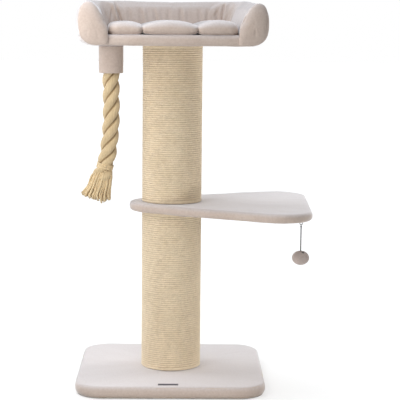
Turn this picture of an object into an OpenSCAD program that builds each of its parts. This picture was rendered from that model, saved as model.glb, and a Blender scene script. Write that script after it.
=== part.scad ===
// Cat scratching post with a base, two sisal posts, a shelf, a bed, a rope and a ball toy.
// The origin is on the floor under the posts' axis, +Z is up and the front faces -Y.

/* [Base] */
// Side of the square base
base_w = 474; // [420:1:560]
// Height of the covered base
base_h = 30; // [26:0.5:45]
// Corner radius of the base
base_r = 70; // [30:1:90]
// Thickness of the lining under the base
lining_t = 1.5; // [1:0.1:3]
// Place of the blank label to the left of the middle
label_left = 5; // [0:1:60]
// Width of the blank label on the base
label_w = 50; // [30:1:70]
// Depth of the blank label
label_d = 13; // [8:1:20]
// Distance from the label's middle to the base's front edge
label_inset = 27; // [15:1:60]

/* [Covered boards] */
// Thickness of the plush cover
plush_t = 2.5; // [1.5:0.1:4]
// Width of the hem that the plush turns in under a board
hem_w = 40; // [25:1:50]

/* [Posts] */
// Outer diameter of the wound posts
post_d = 154; // [130:1:190]
// Length of the lower post
lower_len = 408; // [300:1:550]
// Length of the upper post
upper_len = 400; // [300:1:550]
// Wall of the cardboard tubes
tube_t = 6; // [4:0.5:9]
// Thickness of the wooden discs in the tube ends
disc_t = 18; // [15:0.5:24]
// Diameter of the sisal rope
sisal_d = 5.3; // [5:0.1:7]
// Spare space between two turns of the sisal rope
sisal_space = 0.1; // [0.1:0.05:0.6]
// Turns of sisal drawn at each end of a post
end_turns = 5; // [3:1:6]

/* [Shelf] */
// Thickness of the covered shelf
shelf_h = 23; // [20:0.5:32]
// How far the shelf turns about the post, in degrees
shelf_turn = -2; // [-15:1:15]
// Radius of the narrow end round the post
nose_r = 88; // [84:1:100]
// How far the narrow end's centre lies behind the post's axis
nose_back = 20; // [5:1:22]
// Radius of the bulge in the shelf's sides
bulge_r = 152; // [120:1:158]
// Distance from the post's axis to the bulge
bulge_x = 105; // [80:1:130]
// Radius of the wide end's corners
shelf_corner_r = 80; // [50:1:95]
// Reach of the shelf from the post's axis
shelf_reach = 353; // [320:1:380]
// Width of the shelf at its wide end
shelf_w = 482; // [440:1:500]

/* [Bed] */
// Width of the bed
bed_w = 456; // [420:1:500]
// Depth of the bed's board
bed_d = 430; // [400:1:480]
// Thickness of the bed's covered board
bed_h = 27; // [24:0.5:34]
// Radius of the bed's back corners
bed_back_r = 115; // [100:1:130]
// Radius of the board's front corners
bed_front_r = 18; // [10:1:30]
// How far the bed turns about the post, in degrees
bed_turn = 3; // [-10:1:10]
// How far the bed's middle lies to the left of the post
bed_shift = 8; // [0:1:15]

/* [Bolster] */
// Height of the padded wall above the board
wall_h = 83; // [65:1:100]
// Width of the padded wall at its foot
wall_w = 68; // [55:1:78]
// How far the arms' ends stand in front of the board
nose_t = 12; // [8:1:18]

/* [Cushion] */
// Height of the cushion's three rolls
crest_h = 35; // [25:1:45]
// Height of the sewn channels between the rolls
channel_h = 23; // [16:1:24]
// Height of the seam round the cushion
seam_h = 12; // [8:0.5:14]
// Distance from the middle to each sewn channel
channel_x = 67; // [45:1:90]
// Space between the cushion and the walls
cushion_gap = 4; // [2:0.5:10]

/* [Hanging rope] */
// Diameter of the rope
rope_d = 43; // [36:0.5:46]
// Outer diameter of the sleeve under the bed
sleeve_d = 61; // [59:0.5:70]
// Length of the sleeve
sleeve_len = 69; // [60:1:90]
// Wall of the sleeve's tube
sleeve_wall = 2; // [1.5:0.1:2.4]
// Thickness of the wooden plug in the sleeve
plug_t = 16; // [12:0.5:22]
// Place of the sleeve to the right of the posts' axis
sleeve_x = -152; // [-165:1:-140]
// Place of the sleeve behind the posts' axis
sleeve_y = -100; // [-120:1:-90]
// Height of the cord tie round the rope's end
tie_h = 13; // [8:0.5:16]
// Radius of the ball on which the rope flexes
bend_r = 7.5; // [7:0.1:9]

/* [Toy] */
// Width of the plush ball
ball_d = 43; // [30:0.5:50]
// Height of the plush ball
ball_h = 35.5; // [25:0.5:45]
// Diameter of the toy's string
string_d = 1.6; // [1.2:0.1:2.5]
// Drop from the shelf to the ball's top
ball_drop = 71; // [50:1:90]
// Distance from the shelf's wide end to the toy
toy_from_end = 29; // [24:1:60]
// Distance from the shelf's front side to the toy
toy_from_side = 46; // [40:1:80]

/* [Fixings] */
// Thread diameter of the bolts
bolt_d = 10; // [8:1:12]
// Diameter of the washers
washer_d = 30; // [24:1:34]
// Thickness of the washers
washer_t = 2.5; // [1.5:0.1:3]
// Height of the bolt heads
head_h = 6.4; // [5:0.1:8]
// Length of the tee nuts' barrels
nut_len = 12; // [9:0.5:14]
// Outer diameter of the tee nuts' barrels
nut_d = 13; // [13:0.1:15]
// Thickness of the tee nuts' flanges
flange_t = 1.5; // [1:0.1:2]
// Screws in each disc
disc_screws = 3; // [2:1:6]
// Shank diameter of the disc screws
screw_d = 3.5; // [3:0.1:4.5]
// Length of the disc screws
screw_len = 22; // [16:1:30]

/* [Hidden] */
$fn = 64;

// Clearances: between fitted pieces, round a thread, and under a soft piece
fit = 0.15;
thread_gap = 0.05;
soft_gap = 0.3;

// Heights of the faces where the parts meet
shelf_z = base_h + lower_len;
upper_z = shelf_z + shelf_h;
bed_z = upper_z + upper_len;
wall_z = bed_z + bed_h + soft_gap;

// Rings in one turn of sisal, and sides of its rope
turn_rings = 24;
turn_sides = 6;
sisal_pitch = sisal_d + sisal_space;
wind_r = (post_d - sisal_d) / 2;
tube_r = (wind_r - sisal_d / 2) * cos(180 / turn_rings) - fit;
disc_r = tube_r - tube_t - fit;

// Small fixed sizes
least_r = 1;
label_t = 0.8;
screw_head_t = 1.4;
plug_screw_d = 4.5;
plug_screw_len = 38;
eye_r = 3.2;
eye_wire = 0.8;
eye_reach = 14;
loop_r = 3;
loop_wire = 0.6;
knot_ring_r = 1.7;
knot_wire = 0.5;
knot_r = 1.2;
knot_len = 3.5;

// Bolt holes and the recesses for their heads
bolt_hole_r = bolt_d / 2 + 0.25;
cover_hole_r = bolt_d / 2 + 1;
recess_r = washer_d / 2 + 2;
recess_depth = washer_t + head_h + 0.6;
bolt_grip = nut_len - 0.5;

// The route of the hanging rope below the sleeve's mouth: sideways shift, then drop
rope_route = [[0, 12], [0, 30], [0.5, 50], [0.5, 70], [1, 92], [0.5, 115],
    [-0.5, 137], [-2, 158], [-4.5, 179], [-7.5, 199], [-11, 216]];
// The tie's middle below the mouth, and how far it leans
tie_drop = 230.5;
tie_shift = -14.5;
tie_lean = 13;
// The tassel's rings below the tie: sideways shift, drop, half width, half depth, lean
tassel_rings = [[-19.5, 246, 25, 23, 8], [-23, 256, 29, 26, 4], [-29, 280, 32, 29, 0], [-35, 294, 35, 32, 0],
    [-38, 302, 38, 34, 0], [-28, 312, 29, 28, 0], [-20, 321, 17, 20, 0]];
mouth_z = bed_z - sleeve_len;

// Points on an arc about [x, y]
function arc(x, y, r, from, to, steps) =
    [for (i = [0:steps]) let (a = from + (to - from) * i / steps) [x + r * cos(a), y + r * sin(a)]];

// Faces of a closed skin over rings of equal length, wound so that they look outward
function skin_faces(rings, sides) = concat(
    [for (i = [0:rings - 2], j = [0:sides - 1])
        [i * sides + j, i * sides + (j + 1) % sides, (i + 1) * sides + j]],
    [for (i = [0:rings - 2], j = [0:sides - 1])
        [i * sides + (j + 1) % sides, (i + 1) * sides + (j + 1) % sides, (i + 1) * sides + j]],
    [for (j = [1:sides - 2]) [0, j + 1, j]],
    [for (j = [1:sides - 2]) [(rings - 1) * sides, (rings - 1) * sides + j, (rings - 1) * sides + j + 1]]);

// A tube whose rings follow the points, with the across direction of each ring given
function tube_ring(p, u, v, r, sides) =
    [for (j = [0:sides - 1]) p + u * r * cos(360 * j / sides) + v * r * sin(360 * j / sides)];

// Outlines of the three covered boards, each drawn in by an inset
module base_outline(inset) {
    a = base_w / 2 - inset;
    r = max(base_r - inset, least_r);
    polygon(concat(arc(a - r, a - r, r, 0, 90, 16), arc(r - a, a - r, r, 90, 180, 16),
        arc(r - a, r - a, r, 180, 270, 16), arc(a - r, r - a, r, 270, 360, 16)));
}

module shelf_outline(inset) {
    corner_x = shelf_reach - shelf_corner_r;
    corner_y = shelf_w / 2 - shelf_corner_r;
    rotate(shelf_turn) hull() {
        translate([-nose_back, 0]) circle(nose_r - inset);
        translate([bulge_x, 0]) circle(bulge_r - inset, $fn = 96);
        for (s = [-1, 1]) translate([corner_x, s * corner_y]) circle(shelf_corner_r - inset);
    }
}

module in_bed() {
    rotate(bed_turn) translate([-bed_shift, 0, 0]) children();
}

module bed_outline(inset) {
    a = bed_w / 2 - inset;
    b = bed_d / 2 - inset;
    back = max(bed_back_r - inset, least_r);
    front = max(bed_front_r - inset, least_r);
    in_bed() polygon(concat(
        arc(a - back, b - back, back, 0, 90, 16), arc(back - a, b - back, back, 90, 180, 16),
        arc(front - a, front - b, front, 180, 270, 6), arc(a - front, front - b, front, 270, 360, 6)));
}

// The plush over a board: a tray upside down with a hem turned in under it
module plush_cover(z, h) {
    difference() {
        translate([0, 0, z]) linear_extrude(h) children(0);
        translate([0, 0, z + plush_t]) linear_extrude(h - 2 * plush_t) children(1);
        translate([0, 0, z - 1]) linear_extrude(plush_t + 2) children(2);
        translate([0, 0, z]) cylinder(h = h + 1, r = cover_hole_r);
    }
}

// A bolt with its hexagon head, pointing along +Z from the underside of the head
module bolt(length) {
    translate([0, 0, -head_h]) cylinder(h = head_h, d = bolt_d * 1.9, $fn = 6);
    translate([0, 0, -0.5]) cylinder(h = length + 0.5, d = bolt_d);
}

module washer() {
    difference() {
        cylinder(h = washer_t, d = washer_d);
        translate([0, 0, -1]) cylinder(h = washer_t + 2, r = bolt_hole_r);
    }
}

// A tee nut with its flange at z = 0 and its barrel along +Z
module tee_nut() {
    difference() {
        union() {
            translate([0, 0, -flange_t]) cylinder(h = flange_t, d = nut_d * 2);
            translate([0, 0, -0.5]) cylinder(h = nut_len + 0.5, d = nut_d);
        }
        translate([0, 0, -flange_t - 1]) cylinder(h = nut_len + flange_t + 2, r = bolt_d / 2 + thread_gap);
    }
}

// The heights of the four discs' faces inside the tubes, and the way their nuts point
nut_faces = [[base_h + disc_t, -1], [shelf_z - disc_t, 1], [upper_z + disc_t, -1], [bed_z - disc_t, 1]];

module at_nuts() {
    for (n = nut_faces) translate([0, 0, n[0]]) rotate([n[1] > 0 ? 0 : 180, 0, 0]) children();
}

// The places of the screws in a disc, looking out from the axis
first_screw = 30;
module at_screws(z) {
    for (i = [0:disc_screws - 1])
        translate([0, 0, z]) rotate([0, 90, first_screw + 360 * i / disc_screws]) children();
}

module disc(z, nut_up) {
    face = nut_up ? z : z + disc_t;
    difference() {
        translate([0, 0, z]) cylinder(h = disc_t, r = disc_r, $fn = 96);
        translate([0, 0, z - 1]) cylinder(h = disc_t + 2, r = bolt_hole_r);
        translate([0, 0, nut_up ? face - 1 : face - nut_len - fit])
            cylinder(h = nut_len + fit + 1, d = nut_d + 2 * fit);
        at_screws(z + disc_t / 2) translate([0, 0, tube_r - screw_len - 0.5])
            cylinder(h = screw_len, d = screw_d + 2 * thread_gap);
    }
}

module tube(z, length) {
    difference() {
        translate([0, 0, z]) cylinder(h = length, r = tube_r, $fn = 96);
        translate([0, 0, z - 1]) cylinder(h = length + 2, r = tube_r - tube_t, $fn = 96);
        for (s = [z + disc_t / 2, z + length - disc_t / 2]) at_screws(s) {
            translate([0, 0, tube_r - 1.5 * tube_t]) cylinder(h = 2 * tube_t, d = screw_d + 2 * thread_gap);
            translate([0, 0, tube_r - screw_head_t - fit]) cylinder(h = tube_t, d = 2 * screw_d + 2 * fit);
        }
    }
}

// One end of the winding: an unbroken helix whose two ends run straight for one diameter
function wind_angle(i) = 90 + 360 * i / turn_rings;
function wind_out(i) = [cos(wind_angle(i)), sin(wind_angle(i)), 0];
function wind_point(i, z) = wind_r * wind_out(i) + [0, 0, z + sisal_pitch * i / turn_rings];
function wind_along(i) = [-sin(wind_angle(i)), cos(wind_angle(i)), 0];
wind_last = end_turns * turn_rings;
function wind_rings(z) = concat(
    [tube_ring(wind_point(0, z) - wind_along(0) * sisal_d, wind_out(0), [0, 0, 1], sisal_d / 2, turn_sides)],
    [for (i = [0:wind_last]) tube_ring(wind_point(i, z), wind_out(i), [0, 0, 1], sisal_d / 2, turn_sides)],
    [tube_ring(wind_point(wind_last, z) + wind_along(wind_last) * sisal_d, wind_out(wind_last), [0, 0, 1],
        sisal_d / 2, turn_sides)]);

module winding(z) {
    rings = wind_rings(z);
    polyhedron(points = [for (r = rings, p = r) p], faces = skin_faces(len(rings), turn_sides));
}

// The least distance between one turn's points and the next turn's
wound = wind_rings(0);
wind_gap = min([for (i = [0:len(wound) - turn_rings - 1], k = [turn_rings - 1:turn_rings], a = wound[i],
    b = wound[min(i + k, len(wound) - 1)]) norm(a - b)]);
echo(least_gap_between_turns = wind_gap);

// The sisal on one post: the turns at both ends, and a plain layer between them
module sisal(z, length) {
    margin = sisal_d / 2 + soft_gap;
    height = sisal_pitch * end_turns;
    start = z + margin + height + margin;
    stop = z + length - margin - height - margin;
    winding(z + margin);
    winding(z + length - margin - height);
    translate([0, 0, start]) difference() {
        cylinder(h = stop - start, d = post_d, $fn = 96);
        translate([0, 0, -1]) cylinder(h = stop - start + 2, r = tube_r + fit, $fn = 96);
    }
}

// The base
module base_board() color("burlywood") difference() {
    translate([0, 0, lining_t + plush_t])
        linear_extrude(base_h - lining_t - 2 * plush_t) base_outline(plush_t);
    cylinder(h = base_h, r = bolt_hole_r);
    translate([0, 0, lining_t + plush_t - 1]) cylinder(h = recess_depth + 1, r = recess_r);
}

module base_cover() color("linen") plush_cover(lining_t, base_h - lining_t) {
    base_outline(0);
    base_outline(plush_t);
    base_outline(hem_w);
}

module base_lining() color("dimgray") linear_extrude(lining_t) base_outline(plush_t * 2);

module blank_label() color("dimgray")
    translate([-label_left - label_w / 2, label_inset - base_w / 2 - label_d / 2, base_h])
        cube([label_w, label_d, label_t]);

base_seat = lining_t + plush_t + recess_depth;

module base_bolt() color("silver") translate([0, 0, base_seat - washer_t])
    bolt(base_h + disc_t - nut_len + bolt_grip - base_seat + washer_t);

module base_washer() color("silver") translate([0, 0, base_seat - washer_t]) washer();

// The posts
module lower_tube() color("peru") tube(base_h, lower_len);
module lower_foot_disc() color("burlywood") disc(base_h, false);
module lower_head_disc() color("burlywood") disc(shelf_z - disc_t, true);
module lower_sisal() color("wheat") sisal(base_h, lower_len);
module upper_tube() color("peru") tube(upper_z, upper_len);
module upper_foot_disc() color("burlywood") disc(upper_z, false);
module upper_head_disc() color("burlywood") disc(bed_z - disc_t, true);
module upper_sisal() color("wheat") sisal(upper_z, upper_len);

module tee_nuts() color("silver") at_nuts() tee_nut();

module tube_screws() color("silver") {
    for (z = [base_h, shelf_z - disc_t, upper_z, bed_z - disc_t]) at_screws(z + disc_t / 2) {
        translate([0, 0, tube_r - screw_len]) cylinder(h = screw_len - screw_head_t / 2, d = screw_d);
        translate([0, 0, tube_r - screw_head_t]) cylinder(h = screw_head_t - thread_gap, d = 2 * screw_d);
    }
}

module joining_stud() color("silver")
    translate([0, 0, shelf_z - bolt_grip - disc_t + nut_len])
        cylinder(h = shelf_h + 2 * (bolt_grip + disc_t - nut_len), d = bolt_d);

// The shelf
toy_x = shelf_reach - toy_from_end;
toy_y = shelf_w / 2 - toy_from_side;
eye_at = [toy_x * cos(shelf_turn) + toy_y * sin(shelf_turn),
    toy_x * sin(shelf_turn) - toy_y * cos(shelf_turn)];

module shelf_board() color("burlywood") difference() {
    translate([0, 0, shelf_z + plush_t]) linear_extrude(shelf_h - 2 * plush_t) shelf_outline(plush_t);
    translate([0, 0, shelf_z]) cylinder(h = shelf_h, r = bolt_hole_r);
    translate([eye_at[0], eye_at[1], shelf_z])
        cylinder(h = eye_reach + 0.5, d = eye_wire * 2 + 2 * thread_gap);
}

module shelf_cover() color("linen") difference() {
    plush_cover(shelf_z, shelf_h) {
        shelf_outline(0);
        shelf_outline(plush_t);
        shelf_outline(hem_w);
    }
    translate([eye_at[0], eye_at[1], shelf_z - 1]) cylinder(h = plush_t + 2, d = eye_wire * 2 + 2 * fit);
}

module shelf_lining() color("dimgray") difference() {
    translate([0, 0, shelf_z]) linear_extrude(plush_t) shelf_outline(hem_w + fit);
    translate([0, 0, shelf_z - 1]) cylinder(h = plush_t + 2, r = cover_hole_r);
}

// The bed
bed_seat = bed_z + bed_h - plush_t - recess_depth;

module at_sleeve(z) {
    translate([sleeve_x, sleeve_y, z]) children();
}

module bed_board() color("burlywood") difference() {
    translate([0, 0, bed_z + plush_t]) linear_extrude(bed_h - 2 * plush_t) bed_outline(plush_t);
    translate([0, 0, bed_z]) cylinder(h = bed_h, r = bolt_hole_r);
    translate([0, 0, bed_seat]) cylinder(h = bed_h, r = recess_r);
    at_sleeve(bed_z) cylinder(h = bed_h, d = plug_screw_d + 2 * fit);
    at_sleeve(bed_z + bed_h - plush_t - 3) cylinder(h = 4, d = 2 * plug_screw_d + 2 * fit);
}

module bed_cover() color("linen") difference() {
    plush_cover(bed_z, bed_h) {
        bed_outline(0);
        bed_outline(plush_t);
        bed_outline(hem_w);
    }
    translate([0, 0, bed_z + bed_h - plush_t - 1]) cylinder(h = plush_t + 2, r = recess_r);
    at_sleeve(bed_z + bed_h - plush_t - 1) cylinder(h = plush_t + 2, r = plug_screw_d + 1);
}

module bed_lining() color("linen") difference() {
    translate([0, 0, bed_z]) linear_extrude(plush_t) bed_outline(hem_w + fit);
    translate([0, 0, bed_z - 1]) cylinder(h = plush_t + 2, r = cover_hole_r);
    at_sleeve(bed_z - 1) cylinder(h = plush_t + 2, d = plug_screw_d + 2 * fit);
}

module bed_bolt() color("silver") translate([0, 0, bed_seat + washer_t]) rotate([180, 0, 0])
    bolt(bed_seat + washer_t - bed_z + disc_t - nut_len + bolt_grip);

module bed_washer() color("silver") translate([0, 0, bed_seat]) washer();

// Where the padded wall's inner foot lies, as a share of its width
wall_foot = 0.98;
// Section of the padded wall: across from its outer face, then height, both as shares
wall_shares = [[0.02, 0], [0, 0.12], [0, 0.5], [0.02, 0.7], [0.07, 0.84], [0.15, 0.94], [0.27, 1],
    [0.38, 0.99], [0.49, 0.93], [0.58, 0.83], [0.67, 0.68], [0.77, 0.5], [0.87, 0.3], [0.95, 0.12],
    [wall_foot, 0]];
// How far the arms' ends stop above the board's underside
nose_lift = 1;
// Lower part of an arm's end, which hangs in front of the board: across, then depth below it
nose_shares = [[1.05, 0.15], [1.12, 0.45], [1.13, 0.8], [1.05, 0.96], [0.9, 1], [0.3, 1], [0.14, 0.9],
    [0.05, 0.7], [0.01, 0.35]];

module arm(side) {
    back_y = bed_d / 2 - bed_back_r;
    front_y = -bed_d / 2;
    drop = bed_h - nose_lift;
    profile = [for (p = wall_shares) [side * (bed_w / 2 - p[0] * wall_w), p[1] * wall_h]];
    low = [for (p = nose_shares) [side * (bed_w / 2 - p[0] * wall_w), -p[1] * drop]];
    translate([0, 0, wall_z]) in_bed() {
        translate([0, back_y, 0]) rotate([90, 0, 0])
            linear_extrude(back_y - front_y + soft_gap) polygon(profile);
        translate([0, front_y - soft_gap, 0]) rotate([90, 0, 0])
            linear_extrude(nose_t) polygon(concat(profile, low));
    }
}

module left_bolster() color("linen") arm(-1);
module right_bolster() color("linen") arm(1);

// The back wall: the section carried round both corners
module back_bolster() color("linen") {
    cx = bed_w / 2 - bed_back_r;
    cy = bed_d / 2 - bed_back_r;
    steps = 9;
    stations = concat([for (i = [0:steps]) [cx, 90 * i / steps]], [for (i = [1:3]) [cx - cx * i / 2, 90]],
        [for (i = [0:steps]) [-cx, 90 + 90 * i / steps]]);
    sides = len(wall_shares);
    rings = [for (s = stations) [for (p = wall_shares) let (r = bed_back_r - p[0] * wall_w)
        [s[0] + r * cos(s[1]), cy + r * sin(s[1]), p[1] * wall_h]]];
    translate([0, 0, wall_z]) in_bed()
        polyhedron(points = [for (r = rings, p = r) p], faces = skin_faces(len(rings), sides));
}

// The cushion: three rolls side by side with sewn channels between them
channel_draw = 6;
cushion_set_back = 6;
cushion_front = cushion_set_back - bed_d / 2;
cushion_corner = 24;
roll_steps = 8;
cushion_rows = 12;
cushion_a = bed_w / 2 - wall_foot * wall_w - cushion_gap;
roll_edges = [-cushion_a, -channel_x, channel_x, cushion_a];
cushion_cols = 3 * roll_steps;
function roll_of(i) = min(2, floor(i / roll_steps));
function roll_turn(i) = 180 * (i - roll_of(i) * roll_steps) / roll_steps;
function col_x(i) = let (r = roll_of(i)) (roll_edges[r] + roll_edges[r + 1]) / 2
    - (roll_edges[r + 1] - roll_edges[r]) / 2 * cos(roll_turn(i));
function col_floor(i) = 2 * i <= roll_steps || 2 * i >= 5 * roll_steps ? seam_h : channel_h;
function col_top(i) = col_floor(i) + (crest_h - col_floor(i)) * pow(sin(roll_turn(i)), 0.7);
// How far a column's ends are drawn in at the corners and the channels
function corner_in(x, r) = let (d = max(0, abs(x) - cushion_a + r)) r - sqrt(max(0, r * r - d * d));
function channel_in(i) = channel_draw * (1 - sin(roll_turn(i)));
function col_front(i) = cushion_front + corner_in(col_x(i), cushion_corner) + channel_in(i);
function col_back(i) = bed_d / 2 - wall_foot * wall_w - cushion_gap
    - corner_in(col_x(i), bed_back_r - wall_w + cushion_gap) - channel_in(i);
function row_turn(j) = 180 * j / cushion_rows;
function row_y(i, j) = let (near = col_front(i), far = col_back(i))
    (near + far) / 2 - (far - near) / 2 * cos(row_turn(j));
function end_col(i) = i == 0 || i == cushion_cols ? 0 : min(1, sin(180 * i / cushion_cols) * 2.5);
function top_z(i, j) = seam_h + 1 + (col_top(i) - seam_h) * pow(max(0, sin(row_turn(j))), 0.5);
function low_z(i, j) = (seam_h - 1) * (1 - end_col(i) * min(1, 2 * max(0, sin(row_turn(j)))));

module cushion() color("linen") {
    n = cushion_rows + 1;
    total = (cushion_cols + 1) * n;
    points = concat(
        [for (i = [0:cushion_cols], j = [0:cushion_rows]) [col_x(i), row_y(i, j), top_z(i, j)]],
        [for (i = [0:cushion_cols], j = [0:cushion_rows]) [col_x(i), row_y(i, j), low_z(i, j)]]);
    faces = concat(
        [for (i = [0:cushion_cols - 1], j = [0:cushion_rows - 1])
            [i * n + j, i * n + j + 1, (i + 1) * n + j]],
        [for (i = [0:cushion_cols - 1], j = [0:cushion_rows - 1])
            [i * n + j + 1, (i + 1) * n + j + 1, (i + 1) * n + j]],
        [for (i = [0:cushion_cols - 1], j = [0:cushion_rows - 1])
            [total + i * n + j, total + (i + 1) * n + j, total + i * n + j + 1]],
        [for (i = [0:cushion_cols - 1], j = [0:cushion_rows - 1])
            [total + i * n + j + 1, total + (i + 1) * n + j, total + (i + 1) * n + j + 1]],
        [for (i = [0:cushion_cols - 1], s = [0, 1]) s == 0
            ? [i * n, (i + 1) * n, total + i * n]
            : [(i + 1) * n, total + (i + 1) * n, total + i * n]],
        [for (i = [0:cushion_cols - 1], s = [0, 1]) let (e = cushion_rows) s == 0
            ? [i * n + e, total + i * n + e, (i + 1) * n + e]
            : [(i + 1) * n + e, total + i * n + e, total + (i + 1) * n + e]],
        [for (j = [0:cushion_rows - 1], s = [0, 1]) s == 0
            ? [j, total + j, j + 1] : [j + 1, total + j, total + j + 1]],
        [for (j = [0:cushion_rows - 1], s = [0, 1]) let (e = cushion_cols * n) s == 0
            ? [e + j, e + j + 1, total + e + j] : [e + j + 1, total + e + j + 1, total + e + j]]);
    translate([0, 0, wall_z]) in_bed() polyhedron(points = points, faces = faces);
}

// The sleeve under the bed, and what holds the rope in it
sleeve_in = sleeve_d / 2 - plush_t - sleeve_wall - fit;

module sleeve_tube() color("peru") difference() {
    at_sleeve(mouth_z + plush_t) cylinder(h = sleeve_len - plush_t, r = sleeve_in + sleeve_wall);
    at_sleeve(mouth_z) cylinder(h = sleeve_len + 1, r = sleeve_in);
}

module sleeve_cover() color("linen") difference() {
    at_sleeve(mouth_z) cylinder(h = sleeve_len, d = sleeve_d);
    at_sleeve(mouth_z + plush_t) cylinder(h = sleeve_len, r = sleeve_in + sleeve_wall + fit);
    at_sleeve(mouth_z - 1) cylinder(h = sleeve_len, r = sleeve_in);
}

module sleeve_plug() color("burlywood") difference() {
    at_sleeve(bed_z - plug_t) cylinder(h = plug_t, r = sleeve_in - fit);
    at_sleeve(bed_z - plug_t - 1) cylinder(h = plug_t + 2, d = plug_screw_d + 2 * thread_gap);
}

module sleeve_screw() color("silver") at_sleeve(bed_z + bed_h - plush_t - 3) {
    cylinder(h = 2.8, d = 2 * plug_screw_d);
    translate([0, 0, 0.5 - plug_screw_len]) cylinder(h = plug_screw_len, d = plug_screw_d);
}

module rope_stub() color("wheat") at_sleeve(mouth_z + bend_r + 0.2)
    cylinder(h = sleeve_len - plug_t - bend_r - 0.2, d = rope_d);

module rope_bend() color("wheat") at_sleeve(mouth_z) sphere(bend_r);

// The rope: its route, its narrowed end in the tie, and rings that lean with it
tie_along = [-sin(tie_lean), -cos(tie_lean)];
tie_middle = [tie_shift, -tie_drop];
tie_end = tie_middle + tie_along * tie_h / 2;
narrow_r = rope_d / 2 - 2;
rope_points = concat([[0, -bend_r - soft_gap]], [for (p = rope_route) [p[0], -p[1]]],
    [tie_middle - tie_along * tie_h / 2, tie_end]);
rope_last = len(rope_points) - 1;
function rope_radius(i) = i > rope_last - 2 ? narrow_r : rope_d / 2;
function rope_way(i) = i == 0 ? [0, -1] : i > rope_last - 2 ? tie_along
    : let (d = rope_points[i + 1] - rope_points[i - 1]) d / norm(d);
function leaning_ring(p, way, half_w, half_d, sides) =
    [for (j = [0:sides - 1]) [p[0] - way[1] * half_w * cos(360 * j / sides), half_d * sin(360 * j / sides),
        p[1] + way[0] * half_w * cos(360 * j / sides)]];
rope_sides = 12;

module hanging_rope() color("wheat") at_sleeve(mouth_z) {
    rings = [for (i = [0:rope_last])
        leaning_ring(rope_points[i], rope_way(i), rope_radius(i), rope_radius(i), rope_sides)];
    polyhedron(points = [for (r = rings, p = r) p], faces = skin_faces(len(rings), rope_sides));
}

module rope_tie() color("linen") at_sleeve(mouth_z)
    translate([tie_middle[0], 0, tie_middle[1]]) rotate([0, tie_lean, 0]) difference() {
        cylinder(h = tie_h, r = narrow_r + 3.5, center = true);
        cylinder(h = tie_h + 2, r = narrow_r + soft_gap, center = true);
    }

module rope_tassel() color("wheat") at_sleeve(mouth_z) {
    sides = 20;
    rings = concat([leaning_ring(tie_end, tie_along, narrow_r + 2, narrow_r + 2, sides)],
        [for (t = tassel_rings) leaning_ring([t[0], -t[1]], [-sin(t[4]), -cos(t[4])], t[2], t[3], sides)]);
    polyhedron(points = [for (r = rings, p = r) p], faces = skin_faces(len(rings), sides));
}

// The toy: a ring screwed under the shelf, a loop through it, the knotted string and its ball
eye_z = shelf_z - eye_r - eye_wire - fit;
loop_z = eye_z - eye_r + eye_wire + loop_wire + soft_gap - loop_r;
knot_z = loop_z - loop_r;
string_z = knot_z - knot_ring_r - knot_len;
ball_z = shelf_z - ball_drop - ball_h / 2;
echo(hinges_of_the_toy = [eye_at[0], eye_at[1], eye_z - eye_r, knot_z]);
echo(mouth_of_the_sleeve = [sleeve_x, sleeve_y, mouth_z]);

module at_eye(z) {
    translate([eye_at[0], eye_at[1], z]) children();
}

module ring(r, wire) {
    rotate_extrude($fn = 32) translate([r, 0]) circle(wire, $fn = 16);
}

module toy_eye() color("silver") {
    at_eye(eye_z) rotate([90, 0, 0]) ring(eye_r, eye_wire);
    at_eye(eye_z + eye_r) cylinder(h = shelf_z + eye_reach - eye_z - eye_r, r = eye_wire, $fn = 24);
}

module toy_loop() color("dimgray") at_eye(loop_z) rotate([0, 90, 0]) ring(loop_r, loop_wire);

module toy_knot() color("dimgray") {
    at_eye(knot_z) rotate([90, 0, 0]) ring(knot_ring_r, knot_wire);
    at_eye(string_z) cylinder(h = knot_len, r = knot_r, $fn = 24);
}

module toy_string() color("dimgray") at_eye(0) {
    sides = 8;
    top = string_z;
    bottom = ball_z + ball_h / 2 + fit;
    rings = [for (i = [0:4])
        tube_ring([0, 0, top + (bottom - top) * i / 4], [1, 0, 0], [0, 1, 0], string_d / 2, sides)];
    polyhedron(points = [for (r = rings, p = r) p], faces = skin_faces(len(rings), sides));
}

module toy_ball() color("rosybrown") at_eye(ball_z)
    rotate_extrude($fn = 32) polygon(concat([[0, -ball_h / 2]],
        [for (i = [1:11]) [ball_d / 2 * sin(15 * i), -ball_h / 2 * cos(15 * i)]], [[0, ball_h / 2]]));

base_board();
base_cover();
base_lining();
blank_label();
base_bolt();
base_washer();
lower_tube();
lower_foot_disc();
lower_head_disc();
lower_sisal();
upper_tube();
upper_foot_disc();
upper_head_disc();
upper_sisal();
tee_nuts();
tube_screws();
joining_stud();
shelf_board();
shelf_cover();
shelf_lining();
bed_board();
bed_cover();
bed_lining();
bed_bolt();
bed_washer();
left_bolster();
back_bolster();
right_bolster();
cushion();
sleeve_tube();
sleeve_cover();
sleeve_plug();
sleeve_screw();
rope_stub();
rope_bend();
hanging_rope();
rope_tie();
rope_tassel();
toy_eye();
toy_loop();
toy_knot();
toy_string();
toy_ball();
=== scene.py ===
"""A scratching post with a padded bed, a shelf, a rope and a ball on a string."""

import math
import random

import bmesh
import bpy
import numpy as np
from bpy.props import FloatProperty, FloatVectorProperty, IntProperty, PointerProperty
from mathutils import Matrix, Vector, noise


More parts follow.
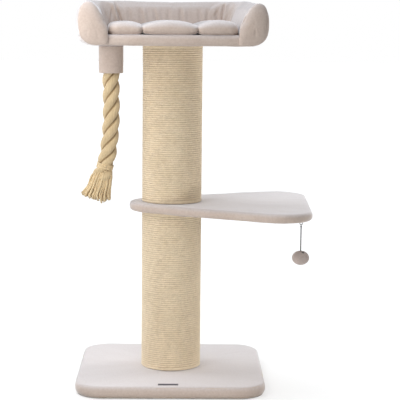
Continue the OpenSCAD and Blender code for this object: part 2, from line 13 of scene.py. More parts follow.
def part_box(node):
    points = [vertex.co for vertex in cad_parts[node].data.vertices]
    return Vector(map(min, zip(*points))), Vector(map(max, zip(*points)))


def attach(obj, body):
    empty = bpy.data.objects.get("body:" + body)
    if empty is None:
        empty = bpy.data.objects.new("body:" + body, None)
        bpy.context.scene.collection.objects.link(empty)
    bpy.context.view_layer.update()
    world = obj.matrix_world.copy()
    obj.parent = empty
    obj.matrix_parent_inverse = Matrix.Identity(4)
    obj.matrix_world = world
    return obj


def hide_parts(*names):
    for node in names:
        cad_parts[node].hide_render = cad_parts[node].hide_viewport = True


bl_info = {
    "name": "Scratching Post",
    "version": (1, 0, 0),
    "blender": (4, 5, 0),
    "location": "View3D > Sidebar > Post",
    "description": "Builds the soft, wound and covered pieces of a scratching post over its frame",
    "category": "Object",
}

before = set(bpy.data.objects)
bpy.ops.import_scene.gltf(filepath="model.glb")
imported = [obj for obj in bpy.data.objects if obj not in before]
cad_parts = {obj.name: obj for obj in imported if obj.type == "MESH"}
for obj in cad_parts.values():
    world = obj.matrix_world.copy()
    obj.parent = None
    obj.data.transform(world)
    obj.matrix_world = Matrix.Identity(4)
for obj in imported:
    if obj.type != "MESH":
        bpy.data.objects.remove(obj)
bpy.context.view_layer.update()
MM = 0.001


# Sizes and colours


def number(name, text, value, **more):
    return FloatProperty(name=name, description=text, default=value, **more)


def length(name, text, value):
    return number(name, text, value, unit="LENGTH")


def power(name, text, value):
    return number(name, text, value, unit="POWER")


def angle(name, text, degrees):
    return number(name, text, math.radians(degrees), subtype="ANGLE")


def amount(name, text, value):
    return IntProperty(name=name, description=text, default=value)


def triple(name, text, value, **more):
    return FloatVectorProperty(name=name, description=text, size=3, default=value, **more)


def colour(name, text, value):
    return triple(name, text, value, subtype="COLOR", min=0, max=1)


class PostPlush(bpy.types.PropertyGroup):
    """The plush on the boards, the bed and the sleeve."""

    light: colour("Light", "Colour where the pile lies towards the light", (0.62, 0.522, 0.458))
    dark: colour("Dark", "Colour where the pile lies away from the light", (0.545, 0.44, 0.375))
    # Painted sheen: flat tops are painted in this paler, cooler colour, standing in for light from above.
    painted_sheen: colour("Painted sheen", "Colour of the pile's tips, seen on flat tops", (0.645, 0.605, 0.612))
    pile: length("Pile", "Depth of the pile", 0.0007)
    edge: length("Edge", "How far the rounding of a covered edge reaches inward", 0.009)
    bed_edge: length("Bed edge", "The same under the bed's sides and back", 0.026)
    proud: length("Proud", "How far a covered edge swells out", 0.0008)
    ripple: length("Ripple", "Height of the cover's slow unevenness", 0.0006)


class PostSisal(bpy.types.PropertyGroup):
    """The sisal rope on the two posts."""

    light: colour("Light", "Colour of clean fibres", (0.90, 0.76, 0.56))
    dark: colour("Dark", "Colour of darker fibres", (0.70, 0.57, 0.39))
    rope: length("Rope", "Thickness of the sisal rope", 0.0059)
    pitch: length("Pitch", "Height of one turn, which is pressed against the next", 0.0054)
    turn_sides: amount("Steps", "Steps in one turn", 48)


class PostRope(bpy.types.PropertyGroup):
    """The thick hanging rope with its tassel."""

    light: colour("Light", "Colour of the yarns", (0.77, 0.61, 0.375))
    dark: colour("Dark", "Colour of the yarns' shaded sides", (0.52, 0.37, 0.19))
    # Painted shade: the dark colour painted deep between the strands, where shade falls.
    crevice_shade: colour("Crevice", "Colour deep between the strands", (0.34, 0.225, 0.105))
    thick: length("Thickness", "Diameter of the rope", 0.043)
    depth: number("Depth", "Depth between the strands as a share of the radius", 0.36)
    lay: length("Lay", "Length in which a strand goes round once", 0.120)
    yarns: amount("Yarns", "Yarns in the tassel", 64)
    yarn: length("Yarn", "Mean radius of a yarn in the tassel", 0.0027)
    tie: length("Tie cord", "Diameter of the cord round the rope's end", 0.0034)


class PostToy(bpy.types.PropertyGroup):
    """The ball on its string."""

    ball: colour("Ball", "Colour of the ball's pile", (0.86, 0.74, 0.68))
    string: colour("String", "Colour of the string", (0.03, 0.025, 0.025))
    cord: length("Thickness", "Diameter of the string", 0.0029)
    tufts: amount("Tufts", "Tufts of pile on the ball", 2600)
    tuft: length("Tuft", "Length of a tuft", 0.0026)


class PostBed(bpy.types.PropertyGroup):
    """The padded wall and the cushion."""

    cap: length("Swell", "Most that the filling pushes the fabric out", 0.005)
    pressure: number("Pressure", "Pressure of the filling", 4)
    pucker: length("Pucker", "Depth of the puckers along a sewn channel", 0.0012)


class PostStage(bpy.types.PropertyGroup):
    """Camera, lamps and floor."""

    lens: number("Lens", "Focal length in millimetres", 124.2)
    place: triple("Camera", "Place of the camera", (0.018, -3.534, 0.914), subtype="XYZ", unit="LENGTH")
    yaw: angle("Yaw", "Turn to the right", 0.89)
    pitch: angle("Pitch", "Tilt downward", 7.26)
    roll: angle("Roll", "Roll", 0.54)
    key: power("Key lamp", "Power of the lamp on the left", 4.6)
    top: number("Top lamp", "Strength of the light from above", 1.7)
    fill: power("Fill lamp", "Power of the lamp behind on the right", 14.6)
    rim: power("Rim lamp", "Power of the lamp behind on the left", 8.4)
    low: power("Low lamp", "Power of the lamp near the floor", 2.7)
    bed: power("Bed lamp", "Power of the lamp over the bed", 1.2)
    sky: number("Sky", "Strength of the light from all sides", 0.325)


SETTINGS = {"plush": PostPlush, "sisal": PostSisal, "rope": PostRope, "toy": PostToy, "bed": PostBed,
            "stage": PostStage}


def settings(name):
    return getattr(bpy.context.scene, "post_" + name)


# Meshes


def smoothstep(t):
    t = np.clip(t, 0, 1)
    return t * t * (3 - 2 * t)


def circle(count):
    """Angles spread evenly over one turn."""
    return np.arange(count) * math.tau / count


def gone_along(line):
    """Length of a line up to each of its points."""
    return np.concatenate([[0], np.cumsum(np.linalg.norm(np.diff(line, axis=0), axis=1))])


def corners_of(mesh, what="co"):
    """A mesh's corners, or their normals, one row each."""
    flat = np.empty(len(mesh.vertices) * 3)
    mesh.vertices.foreach_get(what, flat)
    return flat.reshape(-1, 3)


def points_of(piece):
    return corners_of(piece.data)


def normals_of(piece):
    return corners_of(piece.data, "normal")


def set_points(piece, points):
    piece.data.vertices.foreach_set("co", np.asarray(points, dtype=float).ravel())
    piece.data.update()


def mesh_object(name, points, faces, uvs=None):
    mesh = bpy.data.meshes.new(name)
    mesh.from_pydata(np.asarray(points).tolist(), [], faces)
    if uvs is not None:
        mesh.uv_layers.new(name="along").data.foreach_set("uv", np.asarray(uvs, dtype=float).ravel())
    mesh.shade_smooth()
    piece = bpy.data.objects.new(name, mesh)
    bpy.context.scene.collection.objects.link(piece)
    return piece


def outward(piece):
    """Turns every face of a closed mesh to look out."""
    work = bmesh.new()
    work.from_mesh(piece.data)
    bmesh.ops.recalc_face_normals(work, faces=work.faces)
    work.to_mesh(piece.data)
    work.free()
    return piece


def grid_faces(rows, columns, start=0, round_it=True):
    last = columns if round_it else columns - 1
    i, j = np.meshgrid(np.arange(rows - 1), np.arange(last), indexing="ij")
    k = (j + 1) % columns
    corners = np.stack([i * columns + j, i * columns + k, (i + 1) * columns + k, (i + 1) * columns + j], -1)
    return (corners.reshape(-1, 4) + start).tolist()


def loft_arrays(rings, closed_ends=True, start=0):
    """Points, faces and uvs of one tube through equal rings."""
    rings = np.asarray(rings, dtype=float)
    rows, columns = rings.shape[:2]
    faces = grid_faces(rows, columns, start)
    along = gone_along(rings.mean(1))
    i, j = np.meshgrid(np.arange(rows - 1), np.arange(columns), indexing="ij")
    u = np.stack([j, j + 1, j + 1, j], -1) / columns
    v = np.stack([along[i], along[i], along[i + 1], along[i + 1]], -1)
    uvs = np.stack([u, v], -1).reshape(-1, 2)
    if closed_ends:
        first = [start + n for n in range(columns)]
        last = [n + (rows - 1) * columns for n in first]
        faces += [first[::-1], last]
        uvs = np.concatenate([uvs] + [np.tile([0.5, end], (columns, 1)) for end in along[[0, -1]]])
    return rings.reshape(-1, 3), faces, uvs


def loft(name, rings, closed_ends=True):
    points, faces, uvs = loft_arrays(rings, closed_ends)
    return outward(mesh_object(name, points, faces, uvs))


def many_lofts(name, list_of_rings):
    points, faces, uvs = [], [], []
    start = 0
    for rings in list_of_rings:
        p, f, t = loft_arrays(rings, start=start)
        points.append(p)
        faces += f
        uvs.append(t)
        start += len(p)
    return outward(mesh_object(name, np.concatenate(points), faces, np.concatenate(uvs)))


def ways_along(line):
    line = np.asarray(line, dtype=float)
    ahead = np.gradient(line, axis=0)
    return ahead / np.linalg.norm(ahead, axis=1)[:, None]


def across(ways):
    """Two directions square to each way, turned as little as possible from one point to the next."""
    side = np.empty_like(ways)
    first = np.cross(ways[0], (0.0, 1.0, 0.0) if abs(ways[0][1]) < 0.9 else (1.0, 0.0, 0.0))
    side[0] = first / np.linalg.norm(first)
    for n in range(1, len(ways)):
        moved = side[n - 1] - ways[n] * side[n - 1].dot(ways[n])
        side[n] = moved / np.linalg.norm(moved)
    return side, np.cross(ways, side)


def tube_rings(line, radii, sides, shape=None, spin=0.0):
    """Round rings along a line; shape gives each ring's radius as a share, from its angle and its place, and
    spin turns all of them together."""
    line = np.asarray(line, dtype=float)
    u, v = across(ways_along(line))
    radii = np.broadcast_to(radii, len(line))
    turn = circle(sides)
    share = np.ones((len(line), sides)) if shape is None else shape(turn)
    r = radii[:, None] * share
    turn = turn + spin
    return (line[:, None] + u[:, None] * (r * np.cos(turn))[..., None]
            + v[:, None] * (r * np.sin(turn))[..., None])


def smooth_line(points, step):
    """An evenly spaced curve through given points."""
    points = np.asarray(points, dtype=float)
    padded = np.concatenate([2 * points[:1] - points[1:2], points, 2 * points[-1:] - points[-2:-1]])
    fine = []
    for n in range(len(points) - 1):
        a, b, c, d = padded[n:n + 4]
        for t in np.arange(0, 1, 0.1):
            fine.append(0.5 * (2 * b + (c - a) * t + (2 * a - 5 * b + 4 * c - d) * t * t
                               + (3 * b - a - 3 * c + d) * t ** 3))
    fine.append(points[-1])
    return even_line(fine, step)


def even_line(points, step):
    points = np.asarray(points, dtype=float)
    gone = gone_along(points)
    count = max(2, round(gone[-1] / step) + 1)
    wanted = np.linspace(0, gone[-1], count)
    return np.stack([np.interp(wanted, gone, points[:, n]) for n in range(points.shape[1])], -1)


def waves(points, scale, seed=0):
    """Smooth noise from -1 to 1 at each point; scale is the size of one wave."""
    shift = Vector((seed * 7.3, seed * 3.1, seed * 5.7))
    return np.array([noise.noise(Vector(p) / scale + shift) for p in points])


def push(piece, depth):
    """Moves each corner out along its normal by its own depth."""
    set_points(piece, points_of(piece) + normals_of(piece) * depth[:, None])


def roughen(piece, depth, scale, seed=0):
    """Moves a surface in and out by smooth noise."""
    push(piece, depth * waves(points_of(piece), scale, seed))


def ridden(piece, body, finish, *replaced, slot=None):
    """Gives a piece its finish and its body, and hides the solids that it replaces; slot is not used."""
    piece.data.materials.append(material(finish))
    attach(piece, body)
    if replaced:
        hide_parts(*replaced)
    return piece


# Outlines of the covered boards


def outline_of(name):
    """The outline of a board with no hollow side, evenly spaced, from its solid."""
    points = sorted(set(map(tuple, np.round(corners_of(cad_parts[name].data)[:, :2], 6).tolist())))

    def half(these):
        chain = []
        for p in these:
            while len(chain) > 1 and turn_of(chain[-2], chain[-1], p) <= 0:
                chain.pop()
            chain.append(p)
        return chain[:-1]

    def turn_of(a, b, c):
        return (b[0] - a[0]) * (c[1] - a[1]) - (b[1] - a[1]) * (c[0] - a[0])

    loop = half(points) + half(points[::-1])
    return even_line(loop + loop[:1], OUTLINE_STEP)[:-1]


def outline_normals(loop):
    ahead = np.roll(loop, -1, 0) - np.roll(loop, 1, 0)
    ahead /= np.linalg.norm(ahead, axis=1)[:, None]
    return np.stack([ahead[:, 1], -ahead[:, 0]], -1)


def edge_curve(inward, proud, low, high, steps=9):
    """A covered edge from low to high: how far it is outside the outline, and its height. Inward is its reach
    below; the further it reaches, the higher it bends and the rounder it is."""
    curve = []
    upper = settings("plush").edge
    more = inward - upper
    bulge = 2.4 - 0.5 * min(1, more / 0.012)
    least_rise = 0.006
    bend = min((high - low) / 2 + more * 0.5, high - low - least_rise)
    for a in np.radians(np.linspace(-90, 90, 2 * steps + 1)):
        reach, rise = (inward, bend) if a < 0 else (upper, high - low - bend)
        out = (reach + proud) * abs(math.cos(a)) ** (2 / bulge) - reach
        curve.append((out, low + bend + math.copysign(rise * abs(math.sin(a)) ** (2 / bulge), a)))
    return curve


# Distance between the points of a board's outline
OUTLINE_STEP = 0.006
# How far each ring over a board's flat top or underside reaches, as a share of the board
FLAT_SHARES = (0.02, 0.15, 0.3, 0.45, 0.6, 0.72, 0.82, 0.9, 0.96)
# Points round each corner of the bed and along each of its sides
CORNER_STEPS, SIDE_STEPS = 25, 54
# How far back from the front the bed's corners are drawn in
CORNER_RUN = 0.11
# The cover's thickness, and how much narrower than the arms' ends the cover and the board stay
PLUSH_T = 0.0025
COVER_SPARE, BOARD_SPARE = 0.0015, 0.004


def board_rings(loop, low, high, proud):
    """Rings over a covered board: from the middle of its underside, round the edge and over the top."""
    out = outline_normals(loop)
    centre = loop.mean(0)
    edge = settings("plush").edge

    def flat(share, z):
        return np.column_stack([centre + (loop - out * edge - centre) * share, np.full(len(loop), z)])

    rings = [flat(share, low) for share in FLAT_SHARES]
    rings += [np.column_stack([loop + out * wide, np.full(len(loop), z)])
              for wide, z in edge_curve(edge, proud, low, high)]
    return np.array(rings + [flat(share, high) for share in FLAT_SHARES[::-1]])


def bed_loop(side, front):
    """The bed's outline in its own place, drawn in by one width at its sides and back and by another at its
    front; the second result is 1 at the front and passes to 0 round the front's corners."""
    wide, deep, back_r = BED_W / 2 - side, BED_D / 2, BACK_R - side
    turn = np.radians(np.linspace(0, 90, CORNER_STEPS))
    fade = smoothstep(turn / turn[-1])
    arcs = []
    for x, y, radius, quarter, weight in (
            (wide - back_r, deep - side - back_r, back_r, 0, 0 * fade),
            (back_r - wide, deep - side - back_r, back_r, 1, 0 * fade),
            (BED_FRONT_R - wide, front + BED_FRONT_R - deep, BED_FRONT_R, 2, fade),
            (wide - BED_FRONT_R, front + BED_FRONT_R - deep, BED_FRONT_R, 3, fade[::-1])):
        a = turn + quarter * math.pi / 2
        arcs.append(np.column_stack([x + radius * np.cos(a), y + radius * np.sin(a), weight]))
    parts = []
    for arc, following in zip(arcs, arcs[1:] + arcs[:1]):
        parts += [arc, np.linspace(arc[-1], following[0], SIDE_STEPS + 2)[1:-1]]
    loop = np.concatenate(parts)
    return loop[:, :2], loop[:, 2]


def bed_rings(low, high, proud, inset, spare):
    """Rings over the bed's board or its cover. They are drawn in below, at the sides and the back, and at the
    front corners so far that the arms' ends cover them and leave the spare width."""
    plush = settings("plush")
    sides = np.array(edge_curve(plush.bed_edge, proud, low, high))
    fronts = np.array(edge_curve(plush.edge, proud, low, high))
    rings = []
    for (side_out, side_z), (front_out, front_z) in zip(sides, fronts):
        loop, front = bed_loop(inset - side_out, inset - front_out)
        rings.append(np.column_stack([loop, side_z + (front_z - side_z) * front]))
    below = [rings[0] * (share, share, 1) for share in FLAT_SHARES]
    above = [rings[-1] * (share, share, 1) for share in FLAT_SHARES[::-1]]
    rings = np.array(below + rings + above)
    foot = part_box("back_bolster")[0][2]
    outer = np.array(FRONT_UNDER[4::-1]) * MM
    hidden = BED_W / 2 - np.interp(rings[..., 2] - foot, outer[:, 1], outer[:, 0]) - spare
    widest = BED_W / 2 - inset + np.interp(rings[..., 2], sides[:, 1], sides[:, 0])
    near = 1 - smoothstep((rings[..., 1] + BED_D / 2) / CORNER_RUN)
    rings[..., 0] *= 1 - near * (1 - np.minimum(1, hidden / widest))
    return in_bed(rings)


def covered_board(name, seed):
    plush = settings("plush")
    low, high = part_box(name)
    bottom = low[2] + 0.4 * MM
    if name == "bed_cover":
        rings = bed_rings(bottom, high[2], plush.proud, 0, COVER_SPARE)
    else:
        rings = board_rings(outline_of(name), bottom, high[2], plush.proud)
    piece = loft("plush_" + name.split("_")[0], rings)
    roughen(piece, plush.ripple, 0.045, seed)
    roughen(piece, plush.ripple * 0.4, 0.014, seed + 1)
    return piece


# Shader groups and materials


class Nodes:
    """Builds the nodes of one tree in short lines."""

    def __init__(self, tree):
        self.tree = tree

    def add(self, kind, inputs=None, **values):
        node = self.tree.nodes.new(kind)
        for key, value in values.items():
            setattr(node, key, value)
        for key, value in (inputs or {}).items():
            self.put(node.inputs[key], value)
        return node

    def put(self, socket, value):
        if isinstance(value, bpy.types.NodeSocket):
            self.tree.links.new(value, socket)
        elif isinstance(value, bpy.types.Node):
            self.tree.links.new(value.outputs[0], socket)
        else:
            socket.default_value = value

    def math(self, what, a, b=0.5, c=0.5, clamp=False):
        return self.add("ShaderNodeMath", {0: a, 1: b, 2: c}, operation=what, use_clamp=clamp).outputs[0]

    def noise(self, vector, scale, detail=2.0, rough=0.5):
        node = self.add("ShaderNodeTexNoise", {"Vector": vector, "Scale": scale, "Detail": detail,
                                               "Roughness": rough})
        return node.outputs["Fac"]

    def stretch(self, vector, scale):
        return self.add("ShaderNodeVectorMath", {0: vector, 1: scale}, operation="MULTIPLY").outputs[0]

    def spread(self, value, low, high, to_low=0.0, to_high=1.0):
        node = self.add("ShaderNodeMapRange", {"Value": value, "From Min": low, "From Max": high,
                                               "To Min": to_low, "To Max": to_high})
        return node.outputs[0]

    def mix(self, factor, a, b):
        node = self.add("ShaderNodeMix", data_type="RGBA")
        for socket, value in ((node.inputs[0], factor), (node.inputs[6], a), (node.inputs[7], b)):
            self.put(socket, (*value, 1) if isinstance(value, tuple) else value)
        return node.outputs[2]


def group(name, inputs, outputs, build):
    """A shader group that is built once; inputs and outputs give each socket's kind."""
    if name in bpy.data.node_groups:
        return bpy.data.node_groups[name]
    tree = bpy.data.node_groups.new(name, "ShaderNodeTree")
    for way, sockets in (("INPUT", inputs), ("OUTPUT", outputs)):
        for title, kind in sockets.items():
            tree.interface.new_socket(title, in_out=way, socket_type="NodeSocket" + kind)
    nodes = Nodes(tree)
    given = nodes.add("NodeGroupInput").outputs
    results = build(nodes, given)
    out = nodes.add("NodeGroupOutput")
    for title, value in results.items():
        nodes.put(out.inputs[title], value)
    return tree


def pile_group():
    """Short pile: clumps that lie one way or the other, and the fine ends of the hairs."""

    def build(n, given):
        brushed = n.noise(given["Vector"], n.math("MULTIPLY", given["Scale"], 0.028), 3.0, 0.55)
        clumps = n.noise(given["Vector"], n.math("MULTIPLY", given["Scale"], 0.22), 2.0, 0.6)
        hairs = n.noise(given["Vector"], given["Scale"], 2.0, 0.7)
        lie = n.math("MULTIPLY_ADD", n.spread(brushed, 0.3, 0.7), 0.55,
                     n.math("MULTIPLY", n.spread(clumps, 0.25, 0.75), 0.45))
        height = n.math("MULTIPLY_ADD", hairs, 0.5, n.math("MULTIPLY", clumps, 0.5))
        return {"Lie": lie, "Height": height}

    return group("Pile", {"Vector": "Vector", "Scale": "Float"}, {"Lie": "Float", "Height": "Float"}, build)


def twist_group():
    """Fibres or yarns that run round a rope at a slant; the vector is the unwrapped rope."""

    def build(n, given):
        parts = n.add("ShaderNodeSeparateXYZ", {0: given["Vector"]}).outputs
        round_it = n.math("MULTIPLY", parts[0], given["Count"])
        slant = n.math("MULTIPLY_ADD", parts[1], given["Slant"], round_it)
        wobble = n.noise(n.stretch(given["Vector"], (3.0, 60.0, 1.0)), 1.0, 2.0)
        slant = n.math("MULTIPLY_ADD", wobble, given["Wobble"], slant)
        ridge = n.math("ABSOLUTE", n.math("SINE", n.math("MULTIPLY", slant, math.pi)))
        fibre_at = n.add("ShaderNodeCombineXYZ", {0: n.math("MULTIPLY", slant, 9.0),
                                                  1: n.math("MULTIPLY", parts[1], 40.0)})
        fibres = n.noise(fibre_at.outputs[0], 1.0, 2.0, 0.6)
        return {"Ridge": ridge, "Fibres": fibres}

    return group("Twist", {"Vector": "Vector", "Count": "Float", "Slant": "Float", "Wobble": "Float"},
                 {"Ridge": "Float", "Fibres": "Float"}, build)


def place(nodes):
    return nodes.add("ShaderNodeTexCoord").outputs["Object"]


def new_material(name, **values):
    material = bpy.data.materials.new(name)
    material.use_nodes = True
    nodes = Nodes(material.node_tree)
    shader = material.node_tree.nodes["Principled BSDF"]
    for key, value in values.items():
        shader.inputs[key.replace("_", " ").title().replace("Ior", "IOR")].default_value = value
    return material, nodes, shader


def bump(nodes, shader, height, strength, distance):
    node = nodes.add("ShaderNodeBump", {"Height": height, "Strength": strength, "Distance": distance})
    nodes.put(shader.inputs["Normal"], node)


def plush_material(name, light, dark, scale=900.0, painted_sheen=None):
    material, n, shader = new_material(name, roughness=0.9, sheen_weight=1.0, sheen_roughness=0.35)
    shader.inputs["Sheen Tint"].default_value = (0.95, 0.96, 1.0, 1)
    pile = n.add("ShaderNodeGroup", node_tree=pile_group())
    n.put(pile.inputs["Vector"], place(n))
    n.put(pile.inputs["Scale"], scale)
    tint = n.mix(pile.outputs["Lie"], tuple(dark), tuple(light))
    # Surfaces that face up are mixed towards the pale colour: painted sheen and painted light from above.
    if painted_sheen:
        normal = n.add("ShaderNodeNewGeometry").outputs["Normal"]
        rise = n.add("ShaderNodeSeparateXYZ", {0: normal}).outputs[2]
        tint = n.mix(n.spread(rise, 0.05, 0.9, 0.0, 0.85), tint, tuple(painted_sheen))
    shade = n.spread(pile.outputs["Height"], 0.35, 0.6, 0.3, 0.0)
    n.put(shader.inputs["Base Color"], n.mix(shade, tint, tuple(c * 0.8 for c in dark)))
    bump(n, shader, pile.outputs["Height"], 0.3, settings("plush").pile)
    return material


MATERIALS = {}


def material(name):
    """A finish by name, made once."""
    if name not in MATERIALS:
        MATERIALS[name] = grained(name) if name in GRAINED else MAKERS[name]()
    return MATERIALS[name]


def plush():
    s = settings("plush")
    return plush_material("plush", s.light, s.dark, painted_sheen=s.painted_sheen)


def ball_pile():
    base = settings("toy").ball
    return plush_material("ball_pile", base, [c * 0.72 for c in base], 1300.0)


def strand_twist(n, vector, count, slant, wobble):
    twist = n.add("ShaderNodeGroup", node_tree=twist_group())
    for key, value in (("Vector", vector), ("Count", count), ("Slant", slant), ("Wobble", wobble)):
        n.put(twist.inputs[key], value)
    return twist.outputs


def twisted(name, light, dark, count, slant, wobble, depth, sheen=0.2, crevice_shade=None, uneven=0.0,
            painted_groove_shade=None):
    """Spun fibres. Crevice_shade gives the number of strands, their slant and the painted shade colour
    between them. Uneven gives how much the tone changes along the rope, and painted_groove_shade the colour
    of the painted shade in a post's grooves, the post's axis and its radius."""
    material, n, shader = new_material(name, roughness=0.9, sheen_weight=sheen)
    unwrapped = n.add("ShaderNodeUVMap", uv_map="along").outputs[0]
    twist = strand_twist(n, unwrapped, count, slant, wobble)
    patches = n.noise(place(n), 22.0, 3.0)
    tone = n.math("MULTIPLY_ADD", n.spread(twist["Fibres"], 0.3, 0.7), 0.5,
                  n.math("MULTIPLY", n.spread(patches, 0.3, 0.7), 0.35))
    # Painted shade: the twist's grooves are darker and its ridges lighter, along the same ridges that make
    # the bump.
    tone = n.math("ADD", tone, n.math("MULTIPLY", n.spread(twist["Ridge"], 0.0, 0.5), 0.25), clamp=True)
    if uneven:
        stretches = n.noise(n.stretch(unwrapped, (0.0, 75.0, 0.0)), 1.0, 4.0, 0.65)
        tone = n.math("ADD", tone, n.spread(stretches, 0.25, 0.75, -uneven, uneven), clamp=True)
    tint = n.mix(tone, tuple(dark), tuple(light))
    # Painted shade deep between the strands, on a narrow band of the strands' twist.
    if crevice_shade:
        strands, lean, deep = crevice_shade
        between = n.spread(strand_twist(n, unwrapped, strands, lean, 0.0)["Ridge"], 0.93, 1.0)
        tint = n.mix(between, tint, tuple(deep))
    # Painted shade in the grooves between the turns of the winding: surfaces nearer the post's axis are
    # darkened by a varying amount.
    if painted_groove_shade:
        deep, axis, radius = painted_groove_shade
        off = n.add("ShaderNodeVectorMath", {0: place(n), 1: axis}, operation="SUBTRACT")
        reach = n.add("ShaderNodeVectorMath", {0: n.stretch(off, (1.0, 1.0, 0.0))}, operation="LENGTH")
        shade_mask = n.spread(reach.outputs["Value"], radius - 1.5 * MM, radius - 0.5 * MM, 1.0, 0.0)
        shade_mask = n.math("MULTIPLY", shade_mask, n.spread(n.noise(place(n), 90.0, 3.0, 0.6), 0.35, 0.65, 0.15, 0.5))
        tint = n.mix(shade_mask, tint, tuple(deep))
    n.put(shader.inputs["Base Color"], tint)
    height = n.math("MULTIPLY_ADD", twist["Fibres"], 0.35, twist["Ridge"])
    bump(n, shader, height, 0.8, depth)
    return material


def sisal():
    s = settings("sisal")
    low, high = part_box("lower_sisal")
    # The colour of the painted shade in the grooves, the post's axis and its outer radius.
    painted_groove_shade = ([c * 0.6 for c in s.dark], tuple((low + high) / 2), (high[0] - low[0]) / 2)
    return twisted("sisal", s.light, s.dark, count=3.0, slant=160.0, wobble=0.35, depth=0.0004, sheen=0.1,
                   uneven=0.5, painted_groove_shade=painted_groove_shade)


def cotton():
    s = settings("rope")
    between = (3.0, -3.0 / s.lay, s.crevice_shade)
    return twisted("cotton", s.light, s.dark, count=33.0, slant=8.0, wobble=0.8, depth=0.0009,
                   crevice_shade=between)


def yarn():
    s = settings("rope")
    dark = [(a + b) / 2 for a, b in zip(s.light, s.dark)]
    light = [c * 1.08 for c in s.light]
    return twisted("yarn", light, dark, count=4.0, slant=60.0, wobble=0.5, depth=0.0005)


def string():
    base = settings("toy").string
    return twisted("string", [c * 1.6 for c in base], base, count=2.0, slant=420.0, wobble=0.1, depth=0.0002)


# Light and dark colour, how the grain is squashed, its scale, the roughness and the depth of the bump
GRAINED = {
    "wood": ((0.66, 0.50, 0.32), (0.46, 0.31, 0.17), (12.0, 1.0, 40.0), 14.0, 0.75, 0.0003),
    "cardboard": ((0.55, 0.41, 0.27), (0.40, 0.28, 0.17), (1.0, 1.0, 9.0), 60.0, 0.9, 0.0003),
    "lining": ((0.56, 0.52, 0.49), (0.44, 0.41, 0.385), (1.0, 1.0, 1.0), 700.0, 0.95, 0.0002),
    "label_cloth": ((0.12, 0.105, 0.12), (0.055, 0.048, 0.058), (1.0, 4.0, 1.0), 900.0, 0.8, 0.0002),
}


def grained(name):
    light, dark, squash, scale, rough, depth = GRAINED[name]
    material, n, shader = new_material(name, roughness=rough)
    grain = n.noise(n.stretch(place(n), squash), scale, 4.0, 0.6)
    flecks = n.noise(place(n), scale * 3.0, 2.0)
    tone = n.math("MULTIPLY_ADD", n.spread(grain, 0.3, 0.7), 0.7, n.math("MULTIPLY", flecks, 0.3))
    n.put(shader.inputs["Base Color"], n.mix(tone, dark, light))
    bump(n, shader, tone, 0.4, depth)
    return material


def dark_steel():
    material, n, shader = new_material("dark_steel", metallic=0.8, roughness=0.45)
    worn = n.noise(place(n), 900.0, 3.0)
    n.put(shader.inputs["Base Color"], n.mix(worn, (0.035, 0.03, 0.028), (0.09, 0.08, 0.075)))
    bump(n, shader, worn, 0.2, 0.0001)
    return material


def steel():
    material, n, shader = new_material("steel", metallic=1.0, roughness=0.35)
    brushed = n.noise(n.stretch(place(n), (1.0, 1.0, 30.0)), 300.0, 3.0)
    n.put(shader.inputs["Base Color"], n.mix(brushed, (0.50, 0.50, 0.52), (0.72, 0.72, 0.73)))
    n.put(shader.inputs["Roughness"], n.spread(brushed, 0.2, 0.8, 0.25, 0.5))
    bump(n, shader, brushed, 0.2, 0.0001)
    return material


# The functions that make the other finishes, by the finish's name
MAKERS = {make.__name__: make for make in (plush, ball_pile, sisal, cotton, yarn, string, steel, dark_steel)}


# The hanging rope


# The middle of the sleeve's mouth, where the rope leaves it
MOUTH = Vector((-0.152, -0.1, 0.792))
# Route of the rope below the sleeve's mouth: sideways shift, then drop, in millimetres
ROPE_ROUTE = [(0, 0), (0, 12), (0, 30), (0.5, 50), (0.5, 70), (1, 92), (0.5, 115), (-0.5, 137), (-2, 158),
              (-4.5, 179), (-7.5, 199), (-11, 216), (-14.5, 230.5), (-19, 247), (-23, 262)]
# Drop of the cord that is tied round the rope, and of the place where the tassel's yarns begin
TIE_DROP, YARN_DROP = 230.5, 240
# Share of a turn between neighbours that fill a round evenly
GOLDEN = 0.381966


def hang(shift, drop, depth=0.0):
    """A point below the sleeve's mouth: shifted to the right, dropped and set back, in millimetres."""
    return MOUTH + Vector((shift, depth, -drop)) * MM


def lobes(turn):
    """Radius of three strands that press on each other, as a share of the rope's, at each angle."""
    half = math.tau / 6
    off = np.abs((turn + half) % (2 * half) - half) / half
    roundness = 2.1
    return 1 - settings("rope").depth * off ** roundness


def strand_rings(line, sides, thin, start=0.0):
    """Rings of the laid rope; thin gives each ring's size as a share, start the rope's length before them."""
    rope = settings("rope")
    gone = start + gone_along(line)
    return tube_rings(line, rope.thick / 2 * thin, sides,
                      lambda turn: lobes(turn[None] - math.tau * gone[:, None] / rope.lay), math.pi / 3)


def narrowed(line):
    """How the rope is drawn in under its tie and swells out below it."""
    drop = (MOUTH.z - line[:, 2]) / MM
    thinner, thicker = 0.1, 0.17
    tie = np.exp(-((drop - TIE_DROP) / 9) ** 2)
    below = smoothstep((drop - TIE_DROP - 5) / 14)
    return 1 - thinner * tie + thicker * below


